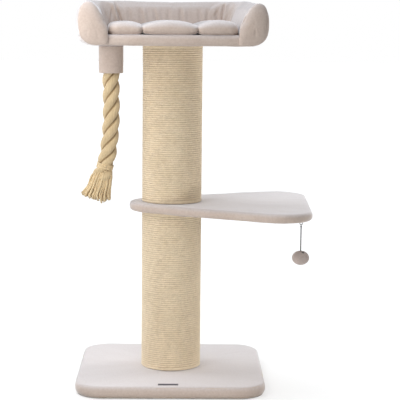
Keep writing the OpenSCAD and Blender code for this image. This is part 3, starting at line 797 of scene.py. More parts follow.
class POST_OT_rope(bpy.types.Operator):
    """Makes the laid rope, the cord tied round it and its tassel"""

    bl_idname = "post.rope"
    bl_label = "Rope and tassel"

    def execute(self, context):
        rope = settings("rope")
        half = rope.thick / 2
        route = smooth_line([hang(*p) for p in ROPE_ROUTE], 0.002)
        slopes = np.radians([80, 64, 48, 32, 16])
        body = strand_rings(route, 120, narrowed(route), half * math.sin(slopes[0]))
        first = body[0] - np.array(MOUTH)
        dome = [np.array(MOUTH) + first * math.cos(a) + np.array((0, 0, half * math.sin(a))) for a in slopes]
        end = body[-1].mean(0)
        # The rounded end inside the tassel: share of the rope's size, and steps of the route beyond it
        closing = [end + (body[-1] - end) * share + (route[-1] - route[-2]) * steps
                   for share, steps in ((0.93, 1.2), (0.78, 2.4), (0.5, 3.2), (0.15, 3.5))]
        laid = loft("laid_rope", np.concatenate([dome, body, closing]))
        roughen(laid, 0.0005, 0.012, 3)
        ridden(laid, "rope", "cotton", "hanging_rope")
        tie = self.tie(route)
        tassel = self.tassel()
        self.inside()
        return {"FINISHED"}

    def tie(self, route):
        """The cord wound four times round the rope, with its crossing end."""
        rope = settings("rope")
        middle = Vector(route[np.abs((MOUTH.z - route[:, 2]) / MM - TIE_DROP).argmin()])
        way = Vector(route[-8] - route[-30]).normalized()
        side = Vector((0, 1, 0)).cross(way).normalized()
        depth = way.cross(side)
        turns, steps = 4, 40
        # The cord pulls the rope in and sinks into it, and each turn presses on the next
        reach = rope.thick / 2 * 0.87 + rope.tie * 0.25
        rise = rope.tie * 0.9
        line = []
        for n in range(turns * steps + 1):
            a = math.tau * n / steps
            shift = (n / (turns * steps) - 0.5) * rise * turns
            swell = 1 + 0.035 * math.sin(3 * a + shift * 90) + 0.02 * math.sin(2.0 * a)
            out = side * math.cos(a) + depth * math.sin(a)
            line.append(middle + way * shift + out * reach * swell)
        winding = tube_rings(line, rope.tie / 2, 10)
        knot_at = middle - depth * (reach + rope.tie * 0.5)
        side, way, depth = side * 4.2 * MM, way * 2.4 * MM, depth * 1.2 * MM
        knot = [knot_at + side * math.cos(t) + way * math.sin(2 * t) - depth * math.sin(t)
                for t in np.linspace(0, math.tau, 26)[:-1]]
        piece = many_lofts("tie_cord", [winding, tube_rings(knot, rope.tie * 0.42, 8)])
        return ridden(piece, "rope", "yarn", "rope_tie", slot="tape")

    def tassel(self):
        """The opened end: thick yarns that start in the strands and hang in loose waves to ragged ends."""
        rope = settings("rope")
        draw = random.Random(11)
        steps = np.linspace(0, 1, 20)
        drops, shifts, widths, depths = np.array(TASSEL).T
        yarns = []
        for n in range(rope.yarns):
            turn = n * math.tau * GOLDEN
            share = math.sqrt((n + 0.5) / rope.yarns)
            side, deep = math.cos(turn) * share, math.sin(turn) * share
            thick = rope.yarn * draw.uniform(0.82, 1.15)
            later = 6 * share
            first = YARN_DROP + later
            last = np.interp(side, *TASSEL_END) - 6 + later + draw.uniform(-6, 2)
            wave, phase, bends = draw.uniform(1.0, 2.6), draw.uniform(0, math.tau), draw.uniform(5, 9)
            line = []
            for t in steps:
                drop = first + (last - first) * t
                room = np.interp(drop, drops, widths) - thick / MM
                bent = wave * t * math.sin(phase + t * bends)
                back = (np.interp(drop, drops, depths) - thick / MM) * deep
                back += wave * 0.7 * t * math.cos(phase + t * bends)
                line.append(hang(np.interp(drop, drops, shifts) + room * side + bent, drop, back))
            taper = np.interp(steps, (0, 0.2, 0.8, 0.95, 1), (0.8, 1, 1.08, 0.95, 0.7))
            swell = 1 + 0.07 * np.sin(steps * 26 + phase)
            yarns.append(tube_rings(line, thick * taper * swell, 9))
            yarns += self.frayed(line, thick, draw)
        piece = many_lofts("tassel_yarns", yarns + [self.heart()])
        return ridden(piece, "rope", "yarn", "rope_tassel", slot="cotton")

    def heart(self):
        """The yarns in the middle, which are packed tight; further down there are fewer."""
        rings = []
        for drop, shift, width, depth in TASSEL[:-2]:
            share = 0.8 - 0.25 * smoothstep((drop - 285) / 18)
            rings.append([hang(shift + width * share * math.cos(a), drop, depth * share * math.sin(a))
                          for a in circle(48)])
        return rings

    def frayed(self, line, thick, draw):
        """The fine ends that stand out of a yarn's tip."""
        tip = Vector(line[-1])
        way = (tip - Vector(line[-3])).normalized()
        side = way.orthogonal().normalized()
        other = way.cross(side)
        ends = []
        count = 9
        for n in range(count):
            a = n * math.tau * GOLDEN
            out = (side * math.cos(a) + other * math.sin(a)) * thick
            reach = 0.35 + 0.07 * n
            foot = tip - way * 0.004 + out * reach * 0.6
            middle = tip + out * reach * 0.8
            end = tip + way * draw.uniform(0.001, 0.004) + out * reach * draw.uniform(0.8, 1.4)
            ends.append(tube_rings([foot, middle, end], np.array([0.0008, 0.0009, 0.0004]), 5))
        return ends

    def inside(self):
        """What the sleeve hides: the rope's fixed upper end and the strands that flex at its mouth."""
        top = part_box("rope_stub")[1][2]
        line = even_line([(MOUTH.x, MOUTH.y, MOUTH.z + 0.024), (MOUTH.x, MOUTH.y, top)], 0.003)
        stub = loft("rope_end_in_sleeve", strand_rings(line, 60, 0.985))
        ridden(stub, "frame", "cotton", "rope_stub")
        low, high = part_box("rope_bend")
        reach = (high[2] - low[2]) / 2
        rise = np.linspace(-0.96, 0.96, 13)
        centre = np.array([(MOUTH.x, MOUTH.y, MOUTH.z + reach * z) for z in rise])
        thin = np.sqrt(1 - rise ** 2) * reach / (settings("rope").thick / 2)
        core = loft("flexing_strands", strand_rings(centre, 36, thin))
        ridden(core, "rope_bend", "cotton", "rope_bend")


# The tassel's outer form below the mouth: drop, sideways shift, half width, half depth, in millimetres
TASSEL = [(238, -17, 20, 18), (246, -19.5, 25, 22), (256, -23, 29, 26), (268, -26, 31, 28),
          (280, -29, 33, 29), (294, -35, 36.5, 31), (302, -38, 40, 33), (312, -36, 38, 32),
          (322, -33, 36, 31)]
# How low the yarns reach, from the left side at -1 to the right side at 1
TASSEL_END = ((-1, -0.5, -0.1, 0.35, 1), (302, 310, 313, 321, 316))


# The ball on its string


def cord_ring(centre, axis, radius, wire):
    """The rings of a closed loop of two twisted yarns; the last is the first again."""
    axis = Vector(axis).normalized()
    side = axis.orthogonal().normalized()
    other = axis.cross(side)
    rings = []
    for a in circle(48):
        out = side * math.cos(a) + other * math.sin(a)
        at = Vector(centre) + out * radius
        ring = []
        for b in circle(12):
            r = wire * (0.86 + 0.14 * abs(math.cos(b + a * 6)))
            ring.append(at + out * (r * math.cos(b)) + axis * (r * math.sin(b)))
        rings.append(ring)
    return rings + rings[:1]


def on_ball(up, a):
    """A point on a ball of radius 1, from its height and its angle round the upright axis."""
    flat = math.sqrt(1 - up * up)
    return flat * math.cos(a), flat * math.sin(a), up


class POST_OT_toy(bpy.types.Operator):
    """Makes the loop, the knotted string and the ball"""

    bl_idname = "post.toy"
    bl_label = "Ball on its string"

    def execute(self, context):
        self.loop()
        knot = self.knot()
        ball = self.ball()
        self.string(knot, ball)
        return {"FINISHED"}

    def loop(self):
        low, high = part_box("toy_loop")
        centre = (low + high) / 2
        wire = (high[0] - low[0]) / 2
        rings = cord_ring(centre, (1, 0, 0), (high[2] - low[2]) / 2 - wire, wire)
        ridden(loft("string_loop", rings, closed_ends=False), "toy_loop", "string", "toy_loop")

    def knot(self):
        low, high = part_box("toy_knot")
        middle = (low + high) / 2
        wire = 0.0007
        ring_r = 0.0017
        top = Vector((middle[0], middle[1], high[2] - wire - ring_r))
        eye = cord_ring(top, (0, 1, 0), ring_r, wire)
        lump_at = Vector((middle[0], middle[1], low[2] + 0.0018))
        knot = []
        for t in np.linspace(0, math.tau, 60):
            r = 0.00085 + 0.0003 * math.cos(2 * t)
            knot.append(lump_at + Vector((r * math.cos(2 * t), r * math.sin(2 * t), 0.001 * math.sin(3 * t))))
        piece = many_lofts("string_knot", [eye, tube_rings(knot, 0.00062, 8)])
        return ridden(piece, "toy", "string", "toy_knot")

    def string(self, knot, ball):
        low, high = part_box("toy_string")
        x, y = (low[0] + high[0]) / 2, (low[1] + high[1]) / 2
        thick = settings("toy").cord
        step, lay = 0.0003, 0.0042
        line = even_line([(x, y, high[2] + 0.0008), (x, y, low[2] - 0.0012)], step)
        gone = np.arange(len(line)) * step

        def shape(turn):
            return 0.82 + 0.18 * np.abs(np.cos(turn[None] + gone[:, None] * math.tau / lay))

        piece = loft("toy_cord", tube_rings(line, thick / 2, 16, shape))
        ridden(piece, "toy", "string", "toy_string")

    def ball(self):
        toy = settings("toy")
        low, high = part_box("toy_ball")
        centre, half = np.array((low + high) / 2), np.array((high - low) / 2)
        inner = half - toy.tuft * 0.8
        draw = random.Random(5)
        rows, columns = 40, 64
        core = []
        for i in range(rows):
            up = math.cos(math.pi * (i + 0.5) / rows)
            core.append([centre + inner * on_ball(up, a) for a in circle(columns)])
        tufts = []
        for n in range(toy.tufts):
            way = Vector(on_ball(1 - 2 * (n + 0.5) / toy.tufts, n * math.tau * (1 - GOLDEN)))
            lean = Vector([draw.uniform(-0.45, 0.45) for axis in "xyz"])
            foot = Vector(centre) + Vector(inner * np.array(way)) - way * 0.0005
            long = toy.tuft * draw.uniform(0.75, 1.1)
            line = [foot, foot + (way + lean * 0.5) * long * 0.55, foot + (way + lean).normalized() * long]
            tufts.append(tube_rings(line, np.array([0.0007, 0.0006, 0.0002]), 4))
        piece = many_lofts("ball_plush", [np.array(core)] + tufts)
        ridden(piece, "toy", "ball_pile", "toy_ball", slot="ball")
        knot_at = Vector(centre) + Vector((0.0043, -0.0088, half[2] - 0.0032))
        spot = [knot_at + Vector((2.2 * math.cos(t), 2.2 * math.sin(t), 1.2 * math.sin(2 * t))) * MM
                for t in np.linspace(0, math.tau * 1.6, 30)]
        ridden(loft("ball_knot", tube_rings(spot, 0.0009, 8)), "toy", "string")
        return piece


# Covered boards, posts and sleeve


class POST_OT_boards(bpy.types.Operator):
    """Makes the plush covers of the base, the shelf and the bed's board, and the linings under them"""

    bl_idname = "post.boards"
    bl_label = "Covered boards"

    def execute(self, context):
        for seed, node in enumerate(("base_cover", "shelf_cover", "bed_cover")):
            ridden(covered_board(node, 10 * seed), "frame", "plush", node)
        self.panel()
        for node, finish in (("base_lining", "lining"), ("shelf_lining", "lining"), ("bed_lining", "plush")):
            self.stapled(node, finish)
        return {"FINISHED"}

    def panel(self):
        """The bed's wooden board, with its lower edge planed round under the cover."""
        low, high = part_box("bed_board")
        rings = bed_rings(low[2], high[2], 0, PLUSH_T, BOARD_SPARE)
        ridden(loft("bed_panel", rings), "frame", "wood", "bed_board")

    def stapled(self, node, finish):
        """A flat lining, slightly wavy but for its middle and stapled all round."""
        low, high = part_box(node)
        loop = outline_of(node)
        centre = loop.mean(0)
        shares = (*FLAT_SHARES, 1)
        rings = [np.column_stack([centre + (loop - centre) * share, np.full(len(loop), z)])
                 for z, run in ((low[2], shares), (high[2], shares[::-1])) for share in run]
        piece = loft("cloth_" + node, rings)
        points = points_of(piece)
        wavy = np.linalg.norm(points[:, :2] - centre, axis=1) > 0.05
        points[:, 2] += np.where(wavy, 0.0002 * waves(points, 0.03, 4), 0)
        points[:, 2] = np.clip(points[:, 2], low[2], high[2])
        set_points(piece, points)
        ridden(piece, "frame", finish, node)


class POST_OT_posts(bpy.types.Operator):
    """Winds the sisal rope round the two posts"""

    bl_idname = "post.posts"
    bl_label = "Sisal posts"

    def execute(self, context):
        self.wind("lower_sisal", 1)
        self.wind("upper_sisal", 2)
        return {"FINISHED"}

    def wind(self, node, seed):
        s = settings("sisal")
        low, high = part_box(node)
        centre = (low + high) / 2
        middle = (high[0] - low[0]) / 2 - s.rope / 2
        bottom, top = low[2] + s.rope / 2, high[2] - s.rope / 2
        turns = round((top - bottom) / s.pitch)
        # One turn more lies flat at the bottom, and one at the top
        n = np.arange((turns + 2) * s.turn_sides + 1)
        around = math.pi / 2 + math.tau * n / s.turn_sides
        east, north = np.cos(around), np.sin(around)
        turn = np.clip(n / s.turn_sides - 1, 0, turns)
        uneven_rise, uneven_reach, uneven_size = 0.00016, 0.00022, 0.03
        rise = bottom + (top - bottom) * turn / turns
        rise += uneven_rise * waves(np.column_stack([east, north, turn * 0.9]), 1.0, seed)
        reach = middle + uneven_reach * waves(np.column_stack([north, east, turn * 1.3]), 0.8, seed + 5)
        line = np.column_stack([centre[0] + reach * east, centre[1] + reach * north, rise])
        thick = s.rope / 2 * (1.0 + uneven_size * waves(line, 0.01, seed + 9))
        piece = loft(node.split("_")[0] + "_winding", tube_rings(line, thick, 8))
        ridden(piece, "frame", "sisal", node)


class POST_OT_sleeve(bpy.types.Operator):
    """Makes the plush sleeve that the rope hangs from"""

    bl_idname = "post.sleeve"
    bl_label = "Sleeve"

    def execute(self, context):
        low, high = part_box("sleeve_cover")
        centre = (low + high) / 2
        outer = (high[0] - low[0]) / 2
        tube_low, tube_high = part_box("sleeve_tube")
        # How far the lip turns in under the tube, and how much further out the plush above it lies
        lip_in, beside = 0.00185, 0.0019
        inner = (tube_high[0] - tube_low[0]) / 2 - lip_in
        lip = (outer - inner) / 2
        middle = (outer + inner) / 2
        section = [(outer, z) for z in np.linspace(high[2], low[2] + lip, 12)]
        section += [(middle + lip * math.cos(a), low[2] + lip + lip * math.sin(a))
                    for a in np.radians(np.linspace(-15, -165, 9))]
        section += [(inner, low[2] + lip), (inner, low[2] + lip + 0.002)]
        section += [(inner + beside, low[2] + 0.0058), (inner + beside, high[2])]
        columns = 72
        turn = circle(columns)
        rings = [np.column_stack([centre[0] + r * np.cos(turn), centre[1] + r * np.sin(turn),
                                  np.full(columns, z)]) for r, z in section]
        points, faces, uvs = loft_arrays(rings, closed_ends=False)
        # The open top is closed between the outer and the inner wall
        last = len(points) - columns
        for n in range(columns):
            k = (n + 1) % columns
            faces.append([n, k, last + k, last + n])
        uvs = np.concatenate([uvs, np.zeros((4 * columns, 2))])
        piece = outward(mesh_object("sleeve_plush", points, faces, uvs))
        roughen(piece, 0.0004, 0.02, 21)
        ridden(piece, "frame", "plush", "sleeve_cover")
        return {"FINISHED"}


# The padded wall and the cushion


# How the bed is turned and shifted sideways, its width and depth, and the radius of its corners at the back
# and at the front
BED_TURN = math.radians(3)
BED_SHIFT = -0.008
BED_W, BED_D = 0.456, 0.430
BACK_R, BED_FRONT_R = 0.115, 0.018
WALL_W, WALL_H = 0.068, 0.083
# Points over the wall's section and under it
OVER_STEPS, UNDER_STEPS = 45, 19
# How much higher than its section the wall is at the back, how much of that is lost at the front, and over
# which length; then the length in which the section passes to the arm's front
WALL_RISE, RISE_LOST, RISE_RUN, FRONT_RUN = 1.036, 0.096, 0.32, 0.05
# The wall's section from its inner foot over the top to its outer foot: across from the outer face and
# height, as shares of the wall's width and height
WALL_OVER = [(0.97, 0.0), (0.955, 0.1), (0.91, 0.22), (0.85, 0.36), (0.77, 0.52), (0.68, 0.69), (0.585, 0.83),
             (0.49, 0.93), (0.4, 0.982), (0.31, 1.0), (0.21, 0.985), (0.12, 0.92), (0.05, 0.81), (0.01, 0.66),
             (-0.005, 0.48), (-0.005, 0.28), (0.01, 0.12), (0.03, 0.0)]
# The arm's front in the same order, in millimetres, and then the part that hangs over the board's edge
FRONT_OVER = [(71, 0), (70.5, 6), (66.5, 20), (59.5, 33.5), (51.5, 49.5), (44, 62), (38, 70), (31, 75),
              (23.5, 77), (16, 75), (9.5, 70), (4, 59), (0.7, 42), (0, 26), (1.2, 12), (3.5, 0)]
FRONT_UNDER = [(3.5, 0), (8, -9), (14.5, -16), (23, -21.5), (34, -24.8), (47, -25.8), (58, -26), (67, -24.5),
               (71.5, -20), (72.5, -9.5), (71, 0)]
# How far an arm's end bulges forward
FRONT_SWELL = 0.011
# Folds in the fabric as seen from the front, in the bed's own place and in millimetres: sideways and height
# of the upper and the lower end, half width, depth, and the lips on the left and on the right as shares of it
CORNER_FOLDS = [(-139, 972, -119, 905, 4.0, 6.0, 0.9, 0.1), (-146, 958, -151, 900, 3.0, 2.8, 0.5, 0.6),
                (153, 972, 140, 905, 4.0, 5.5, 0.1, 0.9)]
BACK_FOLDS = [(-72, 962, -64, 900, 5.0, 4.2, 0.2, 0.9), (-37, 962, -24, 900, 4.5, 3.6, 0.2, 0.9),
              (36, 962, 38, 900, 5.0, 4.0, 0.3, 0.8), (84, 961, 90, 900, 5.0, 3.0, 0.3, 0.7),
              (109, 960, 106, 900, 4.0, 2.4, 0.5, 0.5), (132, 962, 133, 900, 4.5, 2.6, 0.5, 0.5),
              (-103, 960, -95, 900, 5.0, 2.4, 0.4, 0.5), (5, 960, 3, 900, 5.0, 2.0, 0.4, 0.4)]
FRONT_FOLDS = [(194, 904, 195, 889, 2.4, 1.6, 0.3, 0.5), (-206, 903, -207, 880, 3.0, 1.1, 0.3, 0.5),
               (-182, 898, -181, 877, 3.0, 1.0, 0.4, 0.4), (176, 893, 174, 874, 3.0, 0.8, 0.4, 0.4)]
CUSHION_TUFTS = [(-63, 907, -62.5, 895, 2.6, 2.6, 0.3, 0.6), (38.8, 908, 39, 897, 2.4, 2.2, 0.5, 0.3)]


def in_bed(points):
    """From the bed's own place to the frame."""
    points = np.array(points, dtype=float)
    x, y = points[..., 0] + BED_SHIFT, points[..., 1].copy()
    points[..., 0] = x * math.cos(BED_TURN) - y * math.sin(BED_TURN)
    points[..., 1] = x * math.sin(BED_TURN) + y * math.cos(BED_TURN)
    return points


def spaced(points, count):
    """The given number of points, evenly spaced along a smooth curve."""
    fine = smooth_line(points, 0.0003)
    return fine[np.round(np.linspace(0, len(fine) - 1, count)).astype(int)]


def swell(piece, cap, still):
    """Lets the filling push the fabric out until it is held by its seams, and keeps that form."""
    before = points_of(piece)
    held = piece.vertex_groups.new(name="held")
    held.add([n for n, fixed in enumerate(still) if fixed], 1.0, "REPLACE")
    cloth = piece.modifiers.new("Cloth", "CLOTH").settings
    cloth.use_pressure = True
    cloth.uniform_pressure_force = settings("bed").pressure
    cloth.effector_weights.gravity = 0
    cloth.tension_stiffness = 30
    cloth.compression_stiffness = 10
    cloth.bending_stiffness = 0.4
    cloth.vertex_group_mass = "held"
    scene = bpy.context.scene
    frames = 20
    for n in range(1, frames + 1):
        scene.frame_set(n)
    seen = piece.evaluated_get(bpy.context.evaluated_depsgraph_get())
    after = points_of(seen)
    scene.frame_set(1)
    piece.modifiers.clear()
    piece.vertex_groups.clear()
    normals = normals_of(piece)
    move = after - before
    # Most of what the fabric moved inward is undone, and the rest is kept under the cap
    inward = np.minimum(0, (move * normals).sum(1))
    move -= normals * (0.75 * inward)[:, None]
    far = np.linalg.norm(move, axis=1)
    move *= (np.minimum(far, cap) / np.maximum(far, 1e-9))[:, None]
    set_points(piece, before + move)


def press_folds(piece, folds, part, top_fade):
    """Presses folds with raised lips into the chosen part of a surface; they fade out at their ends."""
    points = points_of(piece)
    x, z = points[:, 0] / MM, points[:, 2] / MM
    move = np.zeros(len(points))
    lip = 1.8
    for x1, z1, x2, z2, wide, deep, left, right in folds:
        t = (z1 - z) / (z1 - z2)
        away = (x - (x1 + (x2 - x1) * t)) / wide
        fade = smoothstep((z1 - z) / top_fade) * smoothstep((z - z2) / 6 + 0.5)
        shape = left * np.exp(-(away + lip) ** 2) + right * np.exp(-(away - lip) ** 2) - np.exp(-away ** 2)
        move += deep * fade * shape
    push(piece, move * part * MM)


class POST_OT_bolster(bpy.types.Operator):
    """Makes the padded wall round the bed"""

    bl_idname = "post.bolster"
    bl_label = "Padded wall"

    def execute(self, context):
        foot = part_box("back_bolster")[0][2]
        rings = self.rings(foot)
        piece = loft("padded_wall", rings)
        swell(piece, settings("bed").cap, points_of(piece)[:, 2] < foot + 0.001)
        roughen(piece, 0.0012, 0.06, 31)
        roughen(piece, 0.0005, 0.02, 32)
        depth = points_of(piece)[:, 1] / MM
        step = np.tile(np.arange(OVER_STEPS + UNDER_STEPS), len(rings))
        inside = smoothstep((OVER_STEPS * 0.62 - step) / 4) * smoothstep((depth - 85) / 20)
        press_folds(piece, CORNER_FOLDS, inside, 11)
        press_folds(piece, BACK_FOLDS, inside, 22)
        press_folds(piece, FRONT_FOLDS, smoothstep((-217 - depth) / 4), 6)
        set_points(piece, in_bed(points_of(piece)))
        ridden(piece, "frame", "plush", "left_bolster", "back_bolster", "right_bolster")
        return {"FINISHED"}

    def path(self):
        """Stations from the left front round the back to the right front: place and way out."""
        x, y = BED_W / 2, BED_D / 2
        cx, cy = x - BACK_R, y - BACK_R
        arm = [((-x, s), (-1, 0)) for s in np.linspace(-y, cy, 64)[:-1]]
        back = [((s, y), (0, 1)) for s in np.linspace(-cx, cx, 66)[1:-1]]
        left, right = [], []
        for a in np.radians(np.linspace(180, 90, 56)):
            out = (math.cos(a), math.sin(a))
            left.append(((-cx + BACK_R * out[0], cy + BACK_R * out[1]), out))
            right.append(((cx - BACK_R * out[0], cy + BACK_R * out[1]), (-out[0], out[1])))
        return arm + left + back + right[::-1] + [((-px, py), (1, 0)) for (px, py), out in arm[::-1]]

    def rings(self, foot):
        section = spaced([(u * WALL_W, v * WALL_H) for u, v in WALL_OVER], OVER_STEPS)
        flat = np.linspace(section[-1], section[0], UNDER_STEPS + 2)[1:-1]
        front = spaced([(u * MM, v * MM) for u, v in FRONT_OVER], OVER_STEPS)
        hanging = spaced([(u * MM, v * MM) for u, v in FRONT_UNDER], UNDER_STEPS + 2)[1:-1]
        rings = []
        for at, out in self.path():
            back = at[1] + BED_D / 2
            near = 1 - smoothstep(back / FRONT_RUN)
            rise = WALL_RISE - RISE_LOST * (1 - smoothstep(back / RISE_RUN))
            over = section * (1, rise) * (1 - near) + front * near
            rings.append([(at[0] - out[0] * u, at[1] - out[1] * u, foot + v)
                          for u, v in np.concatenate([over, flat])])
        outline = np.concatenate([front, hanging])
        return np.array(self.end(outline, -1, foot)[::-1] + rings + self.end(outline, 1, foot))

    def end(self, outline, side, foot):
        """The rounded end of an arm, which hangs down in front of the board."""
        centre = outline.mean(0)
        steps = [(0.97, 0.0009), (0.992, 0.002), (1.0, 0.0035)]
        steps += [(s, 0.0035 + FRONT_SWELL * (1 - s ** 2.6) ** 0.62)
                  for s in (0.985, 0.96, 0.925, 0.88, 0.82, 0.74, 0.64, 0.52, 0.38, 0.22, 0.06)]
        rings = []
        for share, out in steps:
            these = centre + (outline - centre) * share
            rings.append([(side * (BED_W / 2 - u), -BED_D / 2 - out, foot + v) for u, v in these])
        return rings


# The two sewn channels, sideways from the bed's middle, and the height of the three rolls' crests
CHANNELS = (-0.075, 0.059)
CRESTS = np.array((0.0325, 0.035, 0.036))
# Height of the fabric in a channel and at the outer sides, and steps across one roll
CHANNEL_H, OUTER_H = 0.0225, 0.006
ROLL_STEPS = 24
# Room between the wall's foot and the cushion, how far its front seam stays behind the bed's front, and the
# radius of its front corners
CUSHION_GAP, SEAM_BACK, CUSHION_FRONT_R = 0.004, 0.006, 0.024
# Height of the seam round the cushion, and how far a channel pulls it up and in at the front and at the back
SEAM_H, SEAM_UP, SEAM_IN_FRONT, SEAM_IN_BACK = 0.0022, 0.0088, 0.008, 0.006
# The underside: its height, how far a channel pulls it up, and how far it stays inside the seam
UNDER_H, UNDER_UP, UNDER_IN, UNDER_IN_SIDE = 0.0002, 0.006, 0.0025, 0.002
# How the cushion rises behind its front seam: inward from the seam in millimetres, and share of the height
CUSHION_RISE = [(4, 0.02), (-0.6, 0.1), (-3.6, 0.22), (-4.9, 0.36), (-4.4, 0.5), (-2.4, 0.63), (1.4, 0.745),
                (7, 0.84), (14.5, 0.91), (24, 0.955), (36, 0.98), (48, 0.995)]


class POST_OT_cushion(bpy.types.Operator):
    """Makes the loose cushion with its three rolls"""

    bl_idname = "post.cushion"
    bl_label = "Cushion"

    def execute(self, context):
        points, faces, edge, sewn = self.surface(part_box("cushion")[0][2])
        piece = outward(mesh_object("seat_cushion", points, faces))
        count = len(points) // 2
        still = np.concatenate([sewn, np.ones(count, bool)])
        still[edge] = True
        swell(piece, settings("bed").cap, still)
        self.pucker(piece, CHANNELS, np.repeat((1.0, 0.0), count))
        press_folds(piece, CUSHION_TUFTS, smoothstep((-196 - points_of(piece)[:, 1] / MM) / 6), 4)
        roughen(piece, 0.0005, 0.025, 41)
        set_points(piece, in_bed(points_of(piece)))
        ridden(piece, "cushion", "plush", "cushion")
        return {"FINISHED"}

    def surface(self, foot):
        """Points and faces of the upper and the under side, the points of the seam round them, and which
        points of the upper side lie in a channel. A column runs from front to back."""
        half = BED_W / 2 - 0.98 * WALL_W - CUSHION_GAP
        edges = np.array((-half, *CHANNELS, half))
        n = np.arange(3 * ROLL_STEPS + 1)
        roll = np.minimum(n // ROLL_STEPS, 2)
        turn = math.pi * (n - roll * ROLL_STEPS) / ROLL_STEPS
        full = np.sin(turn)
        left, right = edges[roll], edges[roll + 1]
        x = (left + right) / 2 - (right - left) / 2 * np.cos(turn)
        outer = (n <= ROLL_STEPS / 2) | (n >= 2.5 * ROLL_STEPS)
        top = np.where(outer, OUTER_H + (CRESTS[roll] - OUTER_H) * full ** 0.36,
                       CHANNEL_H + (CRESTS[roll] - CHANNEL_H) * full ** 1.8)
        pulled = np.where(outer, 0, (1 - full) ** 1.9)

        def corner(r):
            """How far the outline comes in at a corner of this radius."""
            d = np.maximum(0, np.abs(x) - half + r)
            return r - np.sqrt(np.maximum(0, r * r - d * d))

        front = -BED_D / 2 + SEAM_BACK + corner(CUSHION_FRONT_R) + SEAM_IN_FRONT * pulled
        back = (BED_D / 2 - 0.98 * WALL_W - CUSHION_GAP - corner(BACK_R - WALL_W + CUSHION_GAP)
                - SEAM_IN_BACK * pulled)
        inward, share = np.array(CUSHION_RISE).T
        inward = inward * MM
        reach = inward[-1]
        middle = np.linspace(0, 1, 46)[1:-1]
        soft = np.where(outer, 1, 1 - 0.7 * pulled)[:, None]
        inward = np.where(inward < 0, inward[None] * soft, inward[None])
        y = np.concatenate([front[:, None] + inward,
                            (front + reach)[:, None] + (back - front - 2 * reach)[:, None] * middle,
                            back[:, None] - inward[:, ::-1]], 1)
        share = np.concatenate([share, np.ones(len(middle)), share[::-1]])
        columns, rows = y.shape
        count = columns * rows

        def side(x, y, z):
            return np.stack([np.broadcast_to(x[:, None], y.shape), y, z], -1).reshape(-1, 3)

        rim = SEAM_H + SEAM_UP * pulled
        z = foot + rim[:, None] + (top - rim)[:, None] * share
        z += 0.0012 * waves(side(x, y, 0 * y), 0.07, 6).reshape(y.shape) * share
        under_x = np.clip(x, -half + UNDER_IN_SIDE, half - UNDER_IN_SIDE)
        under_y = np.clip(y, (front + UNDER_IN)[:, None], (back - UNDER_IN)[:, None])
        under_z = np.broadcast_to(foot + UNDER_H + (UNDER_UP * pulled)[:, None], y.shape)
        points = np.concatenate([side(x, y, z), side(under_x, under_y, under_z)])
        faces = grid_faces(columns, rows, 0, False)
        faces += [f[::-1] for f in grid_faces(columns, rows, count, False)]
        edge = [i * rows for i in range(columns)]
        edge += [count - rows + j for j in range(1, rows)]
        edge += [i * rows + rows - 1 for i in range(columns - 2, -1, -1)]
        edge += list(range(rows - 2, 0, -1))
        for a, b in zip(edge, edge[1:] + edge[:1]):
            faces.append([a, b, count + b, count + a])
        sewn = np.repeat(np.isin(n, (ROLL_STEPS, 2 * ROLL_STEPS)), rows)
        return points, faces, edge, sewn

    def pucker(self, piece, channels, part):
        """Small folds that run away from each sewn channel."""
        points, normals = points_of(piece), normals_of(piece)
        y = points[:, 1] / MM
        wander = waves(points * (0.2, 1, 1), 0.03, 8)
        for at in channels:
            away = np.abs(points[:, 0] - at) / MM
            shape = np.cos(math.tau * y / 15 + 2.5 * wander) * np.exp(-away / 11) * smoothstep(away / 5)
            points += normals * (part * settings("bed").pucker * shape)[:, None]
        set_points(piece, points)


# Finishes of the pieces that keep their solids


FINISHES = {
    "wood": ["base_board", "shelf_board", "lower_foot_disc", "lower_head_disc", "upper_foot_disc",
             "upper_head_disc", "sleeve_plug"],
    "cardboard": ["lower_tube", "upper_tube", "sleeve_tube"],
    "steel": ["base_bolt", "base_washer", "tee_nuts", "tube_screws", "joining_stud", "bed_bolt", "bed_washer",
              "sleeve_screw"],
    "dark_steel": ["toy_eye"],
    "label_cloth": ["blank_label"],
}


class POST_OT_fixings(bpy.types.Operator):
    """Gives the boards, tubes and fixings their finish"""

    bl_idname = "post.fixings"
    bl_label = "Fixings"

    def execute(self, context):
        for finish, nodes in FINISHES.items():
            for name in nodes:
                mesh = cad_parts[name].data
                mesh.materials.clear()
                mesh.materials.append(material(finish))
        return {"FINISHED"}


# Camera, lamps and floor


def seen_as_white(n):
    """1 for the rays that show the background, 0 for those that light the object."""
    path = n.add("ShaderNodeLightPath").outputs
    seen = n.math("MAXIMUM", path["Is Camera Ray"], path["Is Glossy Ray"])
    return n.math("MAXIMUM", seen, path["Is Transmission Ray"])


